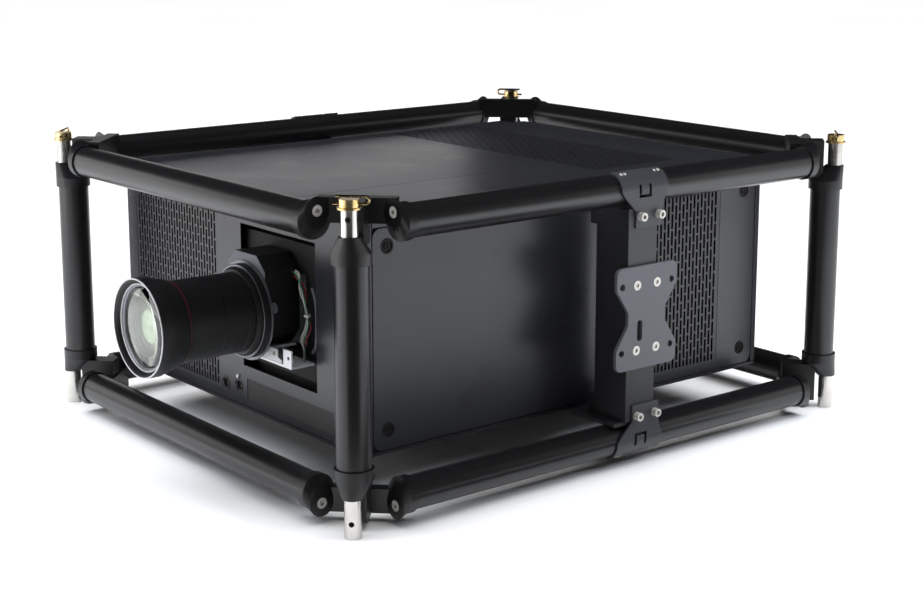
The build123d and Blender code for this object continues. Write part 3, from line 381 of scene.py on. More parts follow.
class FinishBook:
    """All finishes of the object, by the name of their use."""

    def __init__(self, colours):
        c = colours
        self.tube_x = anodised("anodised_tube_x", c.tube, "X", 0.28)
        self.tube_y = anodised("anodised_tube_y", c.tube, "Y", 0.28)
        self.tube_z = anodised("anodised_tube_z", c.tube, "Z", 0.28)
        self.casting = powder_coat("casting_coat", c.casting, 0.36, 0.03, 900.0)
        self.channel = powder_coat("channel_coat", (0.019, 0.019, 0.022), 0.38)
        self.hook = powder_coat("hook_coat", (0.032, 0.033, 0.039), 0.4, 0.015, 1400.0)
        self.plate = powder_coat("plate_coat", c.plate, 0.44, 0.015, 1400.0)
        self.cover = powder_coat("cover_paint", c.cover, 0.26, 0.01, 1700.0)
        self.vent = powder_coat("vent_paint", c.cover, 0.32, 0.012, 1700.0)
        self.chassis = moulded("chassis_paint", (0.0035, 0.0035, 0.004), 0.75, 500.0, 0.01)
        self.holder = faced_coat("holder_coat", c.holder, HOLDER_FACE)
        self.screw = brushed("screw_steel", (0.6, 0.58, 0.54), 0.4, "Z", 0.35)
        # near-black cloth of the vent filters: partly their own colour, partly painted shade for the dark
        # inside seen through the vent slots
        self.filter = moulded("filter_cloth", (0.006, 0.006, 0.0065), 0.8, 500.0, 0.15)
        self.nickel = turned_metal("nickel_plate", c.nickel, 0.2)
        self.gilt = gilt_plate("yellow_plate", c.gilt)
        self.lens = turned_metal("lens_anodise", c.lens, 0.52, 0.0, "Y", 0.4 * MM, 0.002)
        self.lens_line = moulded("lens_line", c.line, 0.35)
        self.rim = turned_metal("bright_rim", (0.5, 0.5, 0.52), 0.3, 0.4, "Y")
        self.ring = turned_metal("satin_ring", (0.16, 0.165, 0.18), 0.3, 0.8, "Y")
        self.glass = coated_glass("coated_glass", c.glass)
        # inner element's colour carries a painted reflection of a barred window, with painted shade towards
        # its edge
        self.painted_reflection_inner_glass = painted_reflection_glass("painted_reflection_inner_glass", (0.34, 0.4, 0.27), LENS_AXIS)
        self.aluminium = brushed("milled_aluminium", (0.72, 0.74, 0.76), 0.36, "X", 0.3)
        self.white = powder_coat("bracket_white", (0.62, 0.63, 0.65), 0.35, 0.01, 1500.0)
        self.tie = moulded("tie_plastic", (0.4, 0.4, 0.39), 0.4)
        self.sleeving = brushed("cable_sleeving", (0.1, 0.1, 0.105), 0.4, "Z", 0.3)
        self.black_plastic = moulded("black_plastic", (0.012, 0.012, 0.013), 0.35)
        self.fastener = moulded("fastener_rubber", (0.004, 0.004, 0.0045), 0.66, 500.0, 0.01)
        self.window = moulded("dark_window", (0.004, 0.004, 0.005), 0.5, 300.0, 0.002)
        self.rubber = moulded("key_rubber", (0.03, 0.03, 0.034), 0.6)
        self.board = circuit_board("circuit_board")
        self.zinc = brushed("zinc_sheet", (0.5, 0.51, 0.52), 0.38, "Y")
        self.phosphor = moulded("phosphor", (0.72, 0.62, 0.12), 0.6)
        self.wire_green = moulded("wire_green", (0.014, 0.085, 0.045), 0.35)
        self.wire_white = moulded("wire_white", (0.36, 0.36, 0.33), 0.35)
        self.wire_red = moulded("wire_red", (0.2, 0.012, 0.02), 0.35)


BOOK = {}


def finishes():
    if "book" not in BOOK:
        BOOK["book"] = FinishBook(bpy.context.scene.projector_colours)
    return BOOK["book"]


# ---------------------------------------------------------------- shapes

def add_piece(name, bm, finish, body, replaces=(), crease=38.0, weigh=False):
    """Turn a bmesh into a finished piece that rides on a body."""
    mesh = bpy.data.meshes.new(name)
    bm.to_mesh(mesh)
    bm.free()
    mesh.materials.append(finish.material)
    mesh.shade_smooth()
    mesh.set_sharp_from_angle(angle=radians(crease))
    piece = bpy.data.objects.new(name, mesh)
    bpy.context.scene.collection.objects.link(piece)
    if weigh:
        modifier = piece.modifiers.new("Face normals", "WEIGHTED_NORMAL")
        modifier.keep_sharp = True
        modifier.weight = 100
    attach(piece, body)
    if replaces:
        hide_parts(*replaces)
    return piece


def body_of(node):
    return frame["nodes"][node]["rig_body"]


def dress(finish, *nodes):
    """Give carried-over nodes their finish."""
    for node in nodes:
        materials = frame["nodes"][node].data.materials
        materials.clear()
        materials.append(finish.material)


def rounded(node, finish, radius, crease=28.0, segments=2):
    """Stand a copy of a node with rounded edges in its place."""
    bm = bmesh.new()
    bm.from_mesh(frame["nodes"][node].data)
    bmesh.ops.remove_doubles(bm, verts=bm.verts, dist=MERGE)
    bmesh.ops.dissolve_limit(bm, angle_limit=radians(0.6), verts=bm.verts, edges=bm.edges)
    sharp = [e for e in bm.edges if e.is_manifold and e.calc_face_angle(0.0) > radians(crease)]
    bmesh.ops.bevel(
        bm, geom=sharp, offset=radius, offset_type="OFFSET", affect="EDGES", segments=segments,
        profile=0.5, material=-1, clamp_overlap=True)
    return add_piece(
        f"{node}_finished", bm, finish, body_of(node), [node], crease=34.0, weigh=True)


def turn_outline(bm, outline, centre, axis, steps, sweep=2 * pi):
    """Spin an outline of (radius, place along the axis) pairs about an axis."""
    if axis == "Y":
        points = [Vector((centre[0] + r, along, centre[2])) for r, along in outline]
        direction = (0.0, 1.0, 0.0)
    elif axis == "X":
        points = [Vector((along, centre[1], centre[2] + r)) for r, along in outline]
        direction = (1.0, 0.0, 0.0)
    else:
        points = [Vector((centre[0] + r, centre[1], along)) for r, along in outline]
        direction = (0.0, 0.0, 1.0)
    verts = [bm.verts.new(point) for point in points]
    edges = [bm.edges.new(pair) for pair in zip(verts, verts[1:] + verts[:1])]
    bmesh.ops.spin(
        bm, geom=verts + edges, cent=centre, axis=direction, angle=sweep, steps=steps, use_merge=True)


def profile(start, *points):
    """Outline from (radius, distance behind a start) pairs in millimetres."""
    return [(radius * MM, start + behind * MM) for radius, behind in points]


def dome(edge, base, sag, steps):
    """Points from the crown of a dome, sag before its base, to its edge."""
    turns = [step * pi / (2 * steps) for step in range(steps + 1)]
    return [(edge * sin(turn), base - sag * cos(turn)) for turn in turns]


def turned(outline, centre, axis="Y", steps=None):
    """Closed turned piece as a bmesh."""
    bm = bmesh.new()
    turn_outline(bm, outline, centre, axis, steps or bpy.context.scene.projector_sizes.turn_steps)
    tidy(bm)
    return bm


def tidy(bm):
    bmesh.ops.remove_doubles(bm, verts=bm.verts, dist=MERGE)
    bmesh.ops.dissolve_degenerate(bm, dist=0.001 * MM, edges=bm.edges)
    bmesh.ops.recalc_face_normals(bm, faces=bm.faces)


def middle(node):
    low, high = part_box(node)
    return (low + high) / 2


def strand(points, radius):
    """Round strand along smooth points given in millimetres, as a bmesh."""
    curve = bpy.data.curves.new("strand", "CURVE")
    curve.dimensions = "3D"
    curve.bevel_depth = radius
    curve.bevel_resolution = 4
    curve.resolution_u = 8
    curve.use_fill_caps = True
    spline = curve.splines.new("BEZIER")
    spline.bezier_points.add(len(points) - 1)
    for knot, point in zip(spline.bezier_points, points):
        knot.co = Vector(point) * MM
        knot.handle_left_type = "AUTO"
        knot.handle_right_type = "AUTO"
    holder = bpy.data.objects.new("strand", curve)
    mesh = holder.to_mesh()
    bm = bmesh.new()
    bm.from_mesh(mesh)
    holder.to_mesh_clear()
    bpy.data.objects.remove(holder)
    bpy.data.curves.remove(curve)
    tidy(bm)
    return bm


def plate(outline, near, far, radius):
    """Flat plate with an outline of (x, z) millimetres between two places on Y, edges rounded."""
    bm = bmesh.new()
    front = bm.faces.new([bm.verts.new((x * MM, near, z * MM)) for x, z in outline])
    grown = bmesh.ops.extrude_face_region(bm, geom=[front])["geom"]
    moved = [item for item in grown if isinstance(item, bmesh.types.BMVert)]
    bmesh.ops.translate(bm, verts=moved, vec=(0.0, far - near, 0.0))
    bmesh.ops.recalc_face_normals(bm, faces=bm.faces)
    bmesh.ops.bevel(
        bm, geom=list(bm.edges), offset=radius, offset_type="OFFSET", affect="EDGES", segments=2,
        profile=0.5, material=-1, clamp_overlap=True)
    return bm


def pleated(low, high, depth_axis, fold_axis, pitch, fold, thick):
    """Pleated sheet that fills a flat box, as a closed bmesh."""
    length_axis = ({0, 1, 2} - {depth_axis, fold_axis}).pop()
    count = max(2, round((high[fold_axis] - low[fold_axis]) / pitch))
    bm = bmesh.new()
    rows = []
    for index in range(count + 1):
        along = low[fold_axis] + (high[fold_axis] - low[fold_axis]) * index / count
        row = []
        for offset, place in ((0.0, low), (0.0, high), (thick, high), (thick, low)):
            point = [0.0, 0.0, 0.0]
            point[fold_axis] = along
            point[depth_axis] = low[depth_axis] + offset + (fold if index % 2 else 0.0)
            point[length_axis] = place[length_axis]
            row.append(bm.verts.new(point))
        rows.append(row)
    for first, second in zip(rows, rows[1:]):
        for side in range(4):
            after = (side + 1) % 4
            bm.faces.new((first[side], first[after], second[after], second[side]))
    bm.faces.new(rows[0])
    bm.faces.new(rows[-1][::-1])
    bmesh.ops.recalc_face_normals(bm, faces=bm.faces)
    return bm


class Kit:
    """Shared start of every operator: sizes and finishes."""

    def sizes(self):
        return bpy.context.scene.projector_sizes


# ---------------------------------------------------------------- rigging frame

class PROJECTOR_OT_tubes(bpy.types.Operator, Kit):
    """Rails and posts with chamfered ends"""

    bl_idname = "projector.tubes"
    bl_label = "Frame tubes"

    def execute(self, context):
        book = finishes()
        for level in ("lower", "upper"):
            for side, axis, finish in (
                    ("front", "X", book.tube_x), ("rear", "X", book.tube_x),
                    ("left", "Y", book.tube_y), ("right", "Y", book.tube_y)):
                node = f"{level}_rail_{side}"
                low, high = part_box(node)
                radius = (high.z - low.z) / 2
                index = "XYZ".index(axis)
                outline = tube_outline(radius, low[index], high[index])
                bm = turned(outline, middle(node), axis)
                add_piece(f"{node}_tube", bm, finish, body_of(node), [node])
        low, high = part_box("posts")
        bm = bmesh.new()
        outline = tube_outline(POST_RADIUS, low.z, high.z)
        for sx in (-1, 1):
            for sy in (-1, 1):
                centre = Vector((sx * (high.x - POST_RADIUS), sy * (high.y - POST_RADIUS), 0.0))
                turn_outline(bm, outline, centre, "Z", self.sizes().turn_steps)
        tidy(bm)
        add_piece("post_tubes", bm, book.tube_z, body_of("posts"), ["posts"])
        return {"FINISHED"}


def tube_outline(radius, start, end):
    """Half section of a tube with chamfered ends."""
    bore = radius - TUBE_WALL
    chamfered = radius - TUBE_CHAMFER
    return [
        (bore, start), (chamfered, start), (radius, start + TUBE_CHAMFER),
        (radius, end - TUBE_CHAMFER), (chamfered, end), (bore, end)]


class PROJECTOR_OT_corners(bpy.types.Operator, Kit):
    """Corner castings, spigots, caps and wire clips"""

    bl_idname = "projector.corners"
    bl_label = "Corners and spigots"

    def execute(self, context):
        book = finishes()
        rounded("corner_castings", book.casting, self.sizes().casting_round)
        rounded("spigots", book.nickel, 0.6 * MM)
        rounded("spigot_caps", book.gilt, 0.7 * MM)
        for end in ("front", "rear"):
            for side in ("left", "right"):
                dress(book.gilt, f"clip_{end}_{side}")
        return {"FINISHED"}


class PROJECTOR_OT_brackets(bpy.types.Operator, Kit):
    """Side uprights, hook plates, mounting plates and the cross beam"""

    bl_idname = "projector.brackets"
    bl_label = "Side brackets"

    def execute(self, context):
        book = finishes()
        rounded("uprights", book.channel, self.sizes().round_over)
        rounded("hook_plates", book.hook, 0.4 * MM)
        rounded("mounting_plates", book.plate, 0.7 * MM)
        rounded("cross_beam", book.channel, self.sizes().round_over)
        rounded("frame_screws", book.screw, 0.35 * MM)
        return {"FINISHED"}


# ---------------------------------------------------------------- body

class PROJECTOR_OT_covers(bpy.types.Operator, Kit):
    """Bent sheet covers, tray and quarter-turn fasteners"""

    bl_idname = "projector.covers"
    bl_label = "Body covers"

    def execute(self, context):
        book = finishes()
        covers = ("front_cover", "rear_cover", "left_cover", "right_cover", "top_cover", "base_tray")
        for node in covers:
            rounded(node, book.cover, self.sizes().round_over)
        rounded("cover_fasteners", book.fastener, 0.3 * MM)
        dress(book.vent, "front_vent", "side_vents", "top_vent")
        dress(book.chassis, "chassis_frame", "lens_bulkhead")
        dress(book.window, "status_window")
        self.filters(book)
        return {"FINISHED"}

    def filters(self, book):
        """Pleated dust filters close behind the front, top and side vents; their near-black cloth also stands
        in for the shade inside the body behind the slots, as painted shade.
        """
        edge = FILTER_EDGE
        places = []
        low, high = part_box("front_vent")
        gap = 1.0 * MM
        places.append((
            "front_filter", (low.x + edge, high.y + gap, low.z + edge),
            (high.x - edge, 0.0, high.z - edge), 1, 0))
        low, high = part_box("top_vent")
        places.append((
            "top_filter", (low.x + edge, low.y + edge, low.z - FILTER_DEPTH),
            (high.x - edge, high.y - edge, 0.0), 2, 1))
        low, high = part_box("side_vents")
        vent = 2.6 * MM
        inner = high.x - vent - FILTER_DEPTH
        for name, x in (("right_filter", inner), ("left_filter", PAPER - FILTER_DEPTH - inner)):
            places.append((name, (x, low.y + edge, low.z + edge), (0.0, high.y - edge, high.z - edge), 0, 1))
        for name, start, end, depth, fold in places:
            bm = pleated(start, end, depth, fold, FOLD_PITCH, FOLD_DEPTH, PAPER)
            add_piece(name, bm, book.filter, "frame", crease=60.0)


# ---------------------------------------------------------------- lens

class PROJECTOR_OT_lens(bpy.types.Operator, Kit):
    """Lens barrel, rings, trim lines and glass"""

    bl_idname = "projector.lens"
    bl_label = "Lens"

    def execute(self, context):
        book = finishes()
        axis = middle("focus_ring")
        centre = Vector((axis.x, 0.0, axis.z))
        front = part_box("focus_ring")[0].y
        self.front_ring(book, centre, front)
        self.glass(book, centre, front)
        self.zoom_ring(book, centre)
        self.barrel(book, centre)
        return {"FINISHED"}

    def front_ring(self, book, centre, front):
        """Focus ring with its flared front, stepped baffles and trim."""
        r = FOCUS_RADIUS
        outline = profile(
            front, (r - 1.0, 0.9), (r, 1.4), (r, 20.0), (r - 1.2, 23.0), (r - 9.0, 50.0), (61.5, 57.0),
            (61.1, 62.0), (61.1, 111.4), (60.6, 112.0), (54.1, 112.0), (54.1, 36.0), (58.2, 36.0),
            (58.2, 30.1), (62.1, 30.1), (62.1, 12.4), (64.6, 9.2), (65.6, 9.0), (68.6, 5.2), (68.9, 4.2),
            (71.6, 1.4))
        add_piece(
            "focus_ring_turned", turned(outline, centre), book.lens, "focus",
            ["focus_ring"], 24.0)
        inside = r - self.sizes().rim_width / MM
        rim = profile(
            front, (inside, 0.8), (inside + 0.3, 0.1), (r - 0.6, 0.0), (r, 0.5), (r, 1.3), (r - 1.0, 0.85))
        add_piece("focus_ring_rim", turned(rim, centre), book.rim, "focus")
        start = 52.5
        end = start + self.sizes().ring_line / MM
        line = profile(front, (62.0, start), (63.55, start), (63.3, end), (62.0, end))
        add_piece("focus_ring_line", turned(line, centre), book.lens_line, "focus")

    def glass(self, book, centre, front):
        """Domed front element, its retaining ring and the elements behind."""
        edge = 61.8
        base = 15.0
        outline = profile(front, *dome(edge, base, 11.0, 12), (edge, base + 9.0), (0.0, base + 9.0))
        add_piece(
            "front_element", turned(outline, centre), book.glass, "focus", ["front_glass"], 30.0)
        bezel = profile(front, (62.0, 12.3), (60.2, 12.2), (60.0, 11.7), (63.4, 9.2), (64.3, 9.2))
        add_piece("front_retainer", turned(bezel, centre), book.ring, "focus")
        lip = profile(front, (64.5, 9.1), (63.4, 9.0), (63.5, 8.0), (64.7, 7.6), (65.5, 8.9))
        add_piece("front_lip", turned(lip, centre), book.rim, "focus")
        edge = 53.5
        base = 42.0
        outline = profile(
            front, *dome(46.0, base, 14.0, 10), (edge, base), (edge, base + 3.0), (0.0, base + 3.0))
        add_piece("second_element", turned(outline, centre), book.painted_reflection_inner_glass, "focus")
        rounded("rear_glass", book.glass, 0.5 * MM)

    def zoom_ring(self, book, centre):
        """Plain zoom ring with two fine index grooves."""
        low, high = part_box("zoom_ring")
        radius = (high.x - low.x) / 2 / MM
        length = (high.y - low.y) / MM
        bore = radius - 6.3
        chamfer = 0.8
        groove = 0.35
        points = [(bore, 0.0), (radius - chamfer, 0.0), (radius, chamfer), (radius, 2.0)]
        for y in (15.0, length - 12.0):
            points += [(radius, y), (radius - groove, y + 0.3), (radius - groove, y + 0.9), (radius, y + 1.2)]
        points += [(radius, length - chamfer), (radius - chamfer, length), (bore, length)]
        add_piece(
            "zoom_ring_turned", turned(profile(low.y, *points), centre), book.lens, "zoom",
            ["zoom_ring"], 24.0)

    def barrel(self, book, centre):
        """Fixed tube with its flange, and the bright rings behind the zoom ring."""
        rounded("lens_barrel", book.lens, 0.6 * MM)
        low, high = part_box("lens_barrel")
        flange = (high.x - low.x) / 2 / MM
        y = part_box("zoom_ring")[1].y
        collar = profile(y, (62.7, 0.6), (64.6, 0.8), (67.0, 6.2), (67.0, 7.6), (62.7, 7.6))
        add_piece("flange_collar", turned(collar, centre), book.lens, "cross")
        trim = profile(y, (flange - 3.0, 8.05), (flange - 1.0, 7.95), (flange - 0.6, 8.3))
        add_piece("flange_trim", turned(trim, centre), book.ring, "cross")
        rounded("lens_lock_ring", book.ring, 0.4 * MM)


class PROJECTOR_OT_lens_mount(bpy.types.Operator, Kit):
    """Carriages, switch bracket and its wiring"""

    bl_idname = "projector.lens_mount"
    bl_label = "Lens mount"

    def execute(self, context):
        book = finishes()
        rounded("cross_carriage", book.holder, 1.2 * MM)
        rounded("lift_carriage", book.chassis, 0.8 * MM)
        rounded("switch_bracket", book.aluminium, 0.5 * MM)
        self.wires(book)
        self.switch(book)
        return {"FINISHED"}

    def switch(self, book):
        """Bright face plate of the switch bracket, its screws and the dark connector."""
        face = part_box("switch_bracket")[0].y
        foot = 191.5
        outline = (
            (126.0, foot), (126.0, 203.0), (138.0, 211.0), (176.0, 211.0), (176.0, 199.0), (186.0, 196.5),
            (186.0, foot))
        bm = plate(outline, face - 2.2 * MM, face - 0.1 * MM, 0.4 * MM)
        add_piece("switch_face", bm, book.white, "cross", weigh=True)
        outline = (
            (178.0, 199.5), (178.0, 211.0), (181.0, 213.0), (191.0, 213.0), (194.0, 210.0), (194.0, 199.5))
        bm = plate(outline, face + 4.0 * MM, face + 15.0 * MM, 0.8 * MM)
        add_piece("switch_connector", bm, book.black_plastic, "cross", weigh=True)
        for index, (x, z) in enumerate(((150.0, 205.0), (168.0, 203.0))):
            y = face - 2.1 * MM
            screw = profile(
                y, (0.0, 0.0), (3.1, 0.0), (3.1, -1.9), (2.7, -2.4), (1.5, -2.4), (1.4, -1.0), (0.0, -1.0))
            centre = Vector((x * MM, 0.0, z * MM))
            add_piece(
                f"switch_screw_{index + 1}", turned(screw, centre, steps=24), book.screw, "cross")

    def wires(self, book):
        """Coloured wires in a tie, and a sleeved cable beside them."""
        gauge = self.sizes().wire
        runs = (
            ("wire_green", book.wire_green, 0.0, 0.0), ("wire_pale", book.wire_white, 3.0, 2.4),
            ("wire_red", book.wire_red, 5.6, -2.2), ("wire_grey", book.wire_white, 1.2, 4.6),
            ("wire_dark", book.wire_green, 6.8, 3.4))
        replaces = ["lens_wires"]
        for name, finish, shift, lean in runs:
            pull = 0.25 * lean
            points = (
                (169.0, -421.5 - shift, 320.0 + lean), (180.0, -423.0 - shift, 318.0 + lean),
                (190.0 + shift, -426.0 - lean, 300.0), (199.0 + pull, -428.0 + 0.4 * shift, 276.0),
                (202.0 + pull, -427.0 + 0.4 * shift, 262.0), (203.0 + shift, -426.0 - lean, 244.0),
                (196.0 + shift, -429.0 - lean, 226.0), (194.0 + 0.5 * shift, -427.0, 207.0),
                (194.0 + 0.5 * shift, -427.0, 191.5))
            add_piece(name, strand(points, gauge / 2), finish, "cross", replaces)
            replaces = ()
        outline = profile(260.1 * MM, (3.4, 0.0), (4.6, 0.0), (5.0, 0.5), (5.0, 3.1), (4.6, 3.6), (3.4, 3.6))
        centre = Vector((202.6, -425.6, 0.0)) * MM
        add_piece("wire_tie", turned(outline, centre, "Z", 32), book.tie, "cross")
        sleeve = (
            (206.0, -419.0, 205.0), (214.0, -419.0, 214.0), (219.0, -419.5, 236.0),
            (219.5, -419.5, 262.0), (216.0, -419.0, 288.0), (208.0, -419.0, 304.0))
        add_piece("sleeved_cable", strand(sleeve, 3.0 * MM), book.sleeving, "cross")


# ---------------------------------------------------------------- sockets, rear and inside

class PROJECTOR_OT_sockets(bpy.types.Operator, Kit):
    """Round front sockets and the latch"""

    bl_idname = "projector.sockets"
    bl_label = "Front sockets"

    def execute(self, context):
        book = finishes()
        rounded("front_sockets", book.black_plastic, 0.4 * MM)
        rounded("socket_latch", book.screw, 0.4 * MM)
        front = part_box("front_sockets")[0].y
        for index, (x, z) in enumerate(((-34.0, 106.0), (6.0, 110.0))):
            centre = Vector((x * MM, 0.0, z * MM))
            outline = profile(
                front, (9.4, 1.4), (8.9, 1.0), (8.2, 1.6), (7.6, 6.0), (7.6, 12.0), (9.4, 12.0))
            add_piece(
                f"socket_shell_{index + 1}", turned(outline, centre, steps=48), book.ring, "frame")
            bm = bmesh.new()
            pin = profile(front, (0.0, 6.0), (0.8, 6.3), (1.2, 7.4), (1.2, 14.9), (0.0, 14.9))
            for turn in range(3):
                heading = pi / 2 + 2.1 * turn
                spot = centre + Vector((cos(heading), 0.0, sin(heading))) * 3.6 * MM
                turn_outline(bm, pin, spot, "Y", 16)
            tidy(bm)
            add_piece(f"socket_pins_{index + 1}", bm, book.gilt, "frame")
        return {"FINISHED"}


class PROJECTOR_OT_rear(bpy.types.Operator, Kit):
    """Rear sockets, keys, mains group and fans"""

    bl_idname = "projector.rear"
    bl_label = "Rear panel"

    def execute(self, context):
        book = finishes()
        rounded("socket_panel", book.vent, 0.2 * MM)
        rounded("signal_sockets", book.zinc, 0.2 * MM)
        rounded("mains_module", book.black_plastic, 0.4 * MM)
        rounded("mains_rocker", book.black_plastic, 0.5 * MM)
        rounded("power_key", book.rubber, 0.6 * MM)
        rounded("menu_pad", book.rubber, 0.6 * MM)
        dress(book.black_plastic, "fan_frames", "fan_rotor_1", "fan_rotor_2")
        return {"FINISHED"}


class PROJECTOR_OT_inside(bpy.types.Operator, Kit):
    """Modules inside the covers"""

    bl_idname = "projector.inside"
    bl_label = "Inside"

    def execute(self, context):
        book = finishes()
        dress(book.aluminium, "imaging_engine", "light_source")
        dress(book.zinc, "power_supply")
        dress(book.board, "control_board")
        dress(book.phosphor, "phosphor_wheel")
        return {"FINISHED"}


# ---------------------------------------------------------------- studio

class PROJECTOR_OT_studio(bpy.types.Operator, Kit):
    """Pale floor, soft light and camera"""

    bl_idname = "projector.studio"
    bl_label = "Studio"

    def execute(self, context):
        studio = context.scene.projector_studio
        self.floor(studio)
        self.card()
        self.sky(context, studio)
        self.lights(context)
        self.camera(context, studio)
        context.scene.view_settings.view_transform = "Standard"
        return {"FINISHED"}

    def floor(self, studio):
        bm = bmesh.new()
        bmesh.ops.create_grid(bm, x_segments=8, y_segments=8, size=studio.floor / 2)
        mesh = bpy.data.meshes.new("studio_floor")
        bm.to_mesh(mesh)
        bm.free()
        finish = Finish("floor_paper")
        cloud = finish.noise(0.7, 2.0)
        finish.feed(
            Base_Color=finish.blend(cloud, (0.9, 0.9, 0.905), (0.93, 0.93, 0.93)),
            Roughness=0.5 + 0.1 * cloud)
        mesh.materials.append(finish.material)
        floor = bpy.data.objects.new("studio_floor", mesh)
        bpy.context.scene.collection.objects.link(floor)

    def card(self):
        """Black cloth on the floor before the camera, which only shows in the gloss."""
        bm = bmesh.new()
        corner = Vector((0.43, -0.51, 0.002))
        points = [corner + Vector((r * cos(radians(a)), r * sin(radians(a)), 0.0)) for r, a in (
            (0.3, -74.0), (5.0, -74.0), (6.0, -32.0), (5.0, 10.0), (0.3, 10.0), (0.26, -32.0))]
        bm.faces.new([bm.verts.new(point) for point in points])
        strip = ((0.52, -0.42), (0.84, -0.42), (0.84, 0.36), (0.52, 0.36))
        bm.faces.new([bm.verts.new((x, y, 0.003)) for x, y in strip])
        mesh = bpy.data.meshes.new("studio_card")
        bm.to_mesh(mesh)
        bm.free()
        mesh.materials.append(finishes().filter.material)
        card = bpy.data.objects.new("studio_card", mesh)
        for ray in ("camera", "diffuse", "transmission", "shadow"):
            setattr(card, f"visible_{ray}", False)
        bpy.context.scene.collection.objects.link(card)

    def sky(self, context, studio):
        """Pale wall behind the object, dark overhead and elsewhere."""
        world = bpy.data.worlds.new("studio_sky")
        world.use_nodes = True
        context.scene.world = world
        tree = world.node_tree

        def fade(signal, start, end, first, last):
            made = tree.nodes.new("ShaderNodeMapRange")
            made.interpolation_type = "SMOOTHSTEP"
            tree.links.new(signal, made.inputs["Value"])
            for key, value in (("From Min", start), ("From Max", end), ("To Min", first), ("To Max", last)):
                made.inputs[key].default_value = value
            return made.outputs["Result"]

        def times(first, second):
            made = tree.nodes.new("ShaderNodeMath")
            made.operation = "MULTIPLY"
            tree.links.new(first, made.inputs[0])
            tree.links.new(second, made.inputs[1])
            return made.outputs["Value"]

        coordinates = tree.nodes.new("ShaderNodeTexCoord")
        facing = tree.nodes.new("ShaderNodeVectorMath")
        facing.operation = "DOT_PRODUCT"
        facing.inputs[1].default_value = (-0.79, 0.6, 0.1)
        tree.links.new(coordinates.outputs["Generated"], facing.inputs[0])
        height = tree.nodes.new("ShaderNodeSeparateXYZ")
        tree.links.new(coordinates.outputs["Generated"], height.inputs[0])
        walls = fade(facing.outputs["Value"], 0.35, 0.9, 0.06, studio.sky)
        overhead = fade(height.outputs["Z"], 0.15, 0.5, 1.0, 0.12)
        tree.links.new(times(walls, overhead), tree.nodes["Background"].inputs["Strength"])

    def lights(self, context):
        """Softboxes left, right and behind that show in the gloss, and a broad top light that does not."""
        for name, heading, distance, height, width, tall, glow, panes in (
                ("softbox_left", -112.0, 3.4, 0.75, 1.9, 1.5, 3.4, 2),
                ("softbox_window", -150.0, 3.2, 0.8, 1.1, 1.3, 2.0, 2),
                ("softbox_right", 52.0, 3.4, 0.9, 1.3, 1.6, 1.2, 1),
                ("softbox_back", 154.0, 4.5, 0.9, 2.2, 0.9, 1.1, 1)):
            angle = radians(heading)
            centre = Vector((distance * cos(angle), distance * sin(angle), height))
            turn = (centre - Vector((0.0, 0.0, 0.3))).to_track_quat("Z", "Y")
            for column in range(panes):
                for row in range(panes):
                    light = bpy.data.lights.new(name, "AREA")
                    light.shape = "RECTANGLE"
                    light.size = PANE_SHARE * width / panes
                    light.size_y = PANE_SHARE * tall / panes
                    light.energy = glow * pi * light.size * light.size_y
                    across = (column - (panes - 1) / 2) * width / panes
                    up = (row - (panes - 1) / 2) * tall / panes
                    lamp = bpy.data.objects.new(name, light)
                    lamp.location = centre + turn @ Vector((across, up, 0.0))
                    lamp.rotation_euler = turn.to_euler()
                    context.scene.collection.objects.link(lamp)
        for name, place, side, glow in (
                ("floor_light_right", (1.5, 1.0, 1.3), 1.1, 9.0),
                ("floor_light_left", (-0.5, -1.6, 1.4), 1.2, 6.0)):
            light = bpy.data.lights.new(name, "AREA")
            light.size = side
            light.energy = glow * pi * side * side
            light.color = (0.88, 0.93, 1.0)
            lamp = bpy.data.objects.new(name, light)
            lamp.location = place
            lamp.visible_glossy = False
            context.scene.collection.objects.link(lamp)
        top = bpy.data.lights.new("top_light", "SUN")
        top.energy = 4.1
        top.angle = radians(75.0)
        lamp = bpy.data.objects.new("top_light", top)
        lamp.rotation_euler = (radians(-8.0), radians(-6.0), 0.0)
        lamp.visible_glossy = False
        context.scene.collection.objects.link(lamp)

    def camera(self, context, studio):
        data = bpy.data.cameras.new("studio_camera")
        data.lens = studio.focal
        data.sensor_width = 36.0
        data.shift_y = -0.07
        camera = bpy.data.objects.new("studio_camera", data)
        camera.location = studio.place
        camera.rotation_euler = (pi / 2 - studio.tilt, 0.0, studio.turn)
        context.scene.collection.objects.link(camera)
        context.scene.camera = camera


class PROJECTOR_PT_panel(bpy.types.Panel):
    """Lists the steps that build the looks"""

    bl_idname = "PROJECTOR_PT_panel"
    bl_label = "Projector"
    bl_space_type = "VIEW_3D"
    bl_region_type = "UI"
    bl_category = "Projector"

    def draw(self, context):
        for operator in OPERATORS:
            self.layout.operator(operator.bl_idname)
        for group in ("projector_sizes", "projector_colours", "projector_studio"):
            settings = getattr(context.scene, group)
            column = self.layout.column()
            for key in settings.__annotations__:
                column.prop(settings, key)


GROUPS = {
    "projector_sizes": ProjectorSizes,
    "projector_colours": ProjectorColours,
    "projector_studio": ProjectorStudio,
}
OPERATORS = (
    PROJECTOR_OT_studio,
    PROJECTOR_OT_tubes,
    PROJECTOR_OT_corners,
    PROJECTOR_OT_brackets,
    PROJECTOR_OT_covers,
    PROJECTOR_OT_lens,
    PROJECTOR_OT_lens_mount,
    PROJECTOR_OT_sockets,
    PROJECTOR_OT_rear,
    PROJECTOR_OT_inside,
)


def register():
    for name, group in GROUPS.items():
        bpy.utils.register_class(group)
        setattr(bpy.types.Scene, name, PointerProperty(type=group))
    for operator in OPERATORS:
        bpy.utils.register_class(operator)
    bpy.utils.register_class(PROJECTOR_PT_panel)


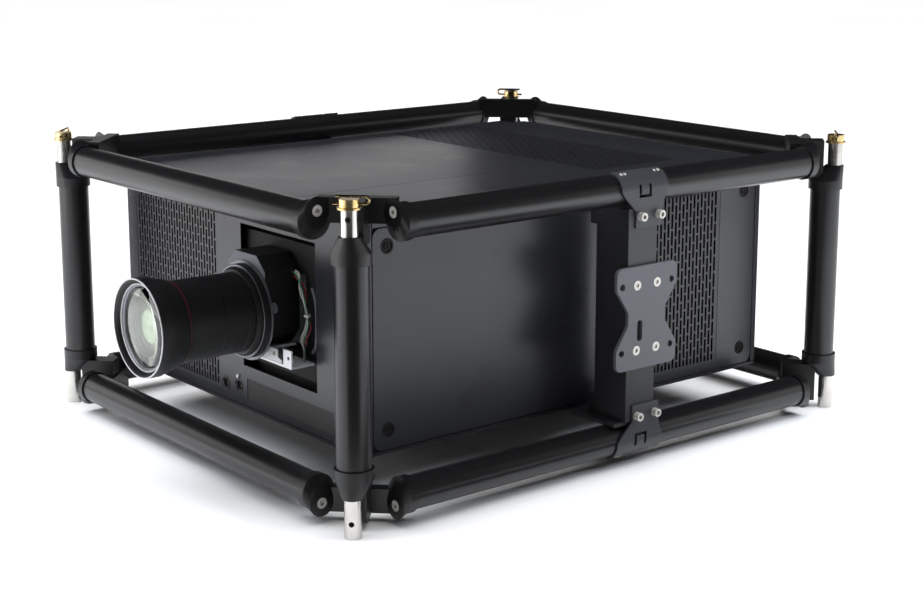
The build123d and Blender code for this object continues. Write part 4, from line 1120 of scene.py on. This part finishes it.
def unregister():
    bpy.utils.unregister_class(PROJECTOR_PT_panel)
    for operator in reversed(OPERATORS):
        bpy.utils.unregister_class(operator)
    for name, group in GROUPS.items():
        delattr(bpy.types.Scene, name)
        bpy.utils.unregister_class(group)


def main():
    register()
    for operator in OPERATORS:
        group, name = operator.bl_idname.split(".")
        getattr(getattr(bpy.ops, group), name)()


if __name__ == "__main__":
    main()
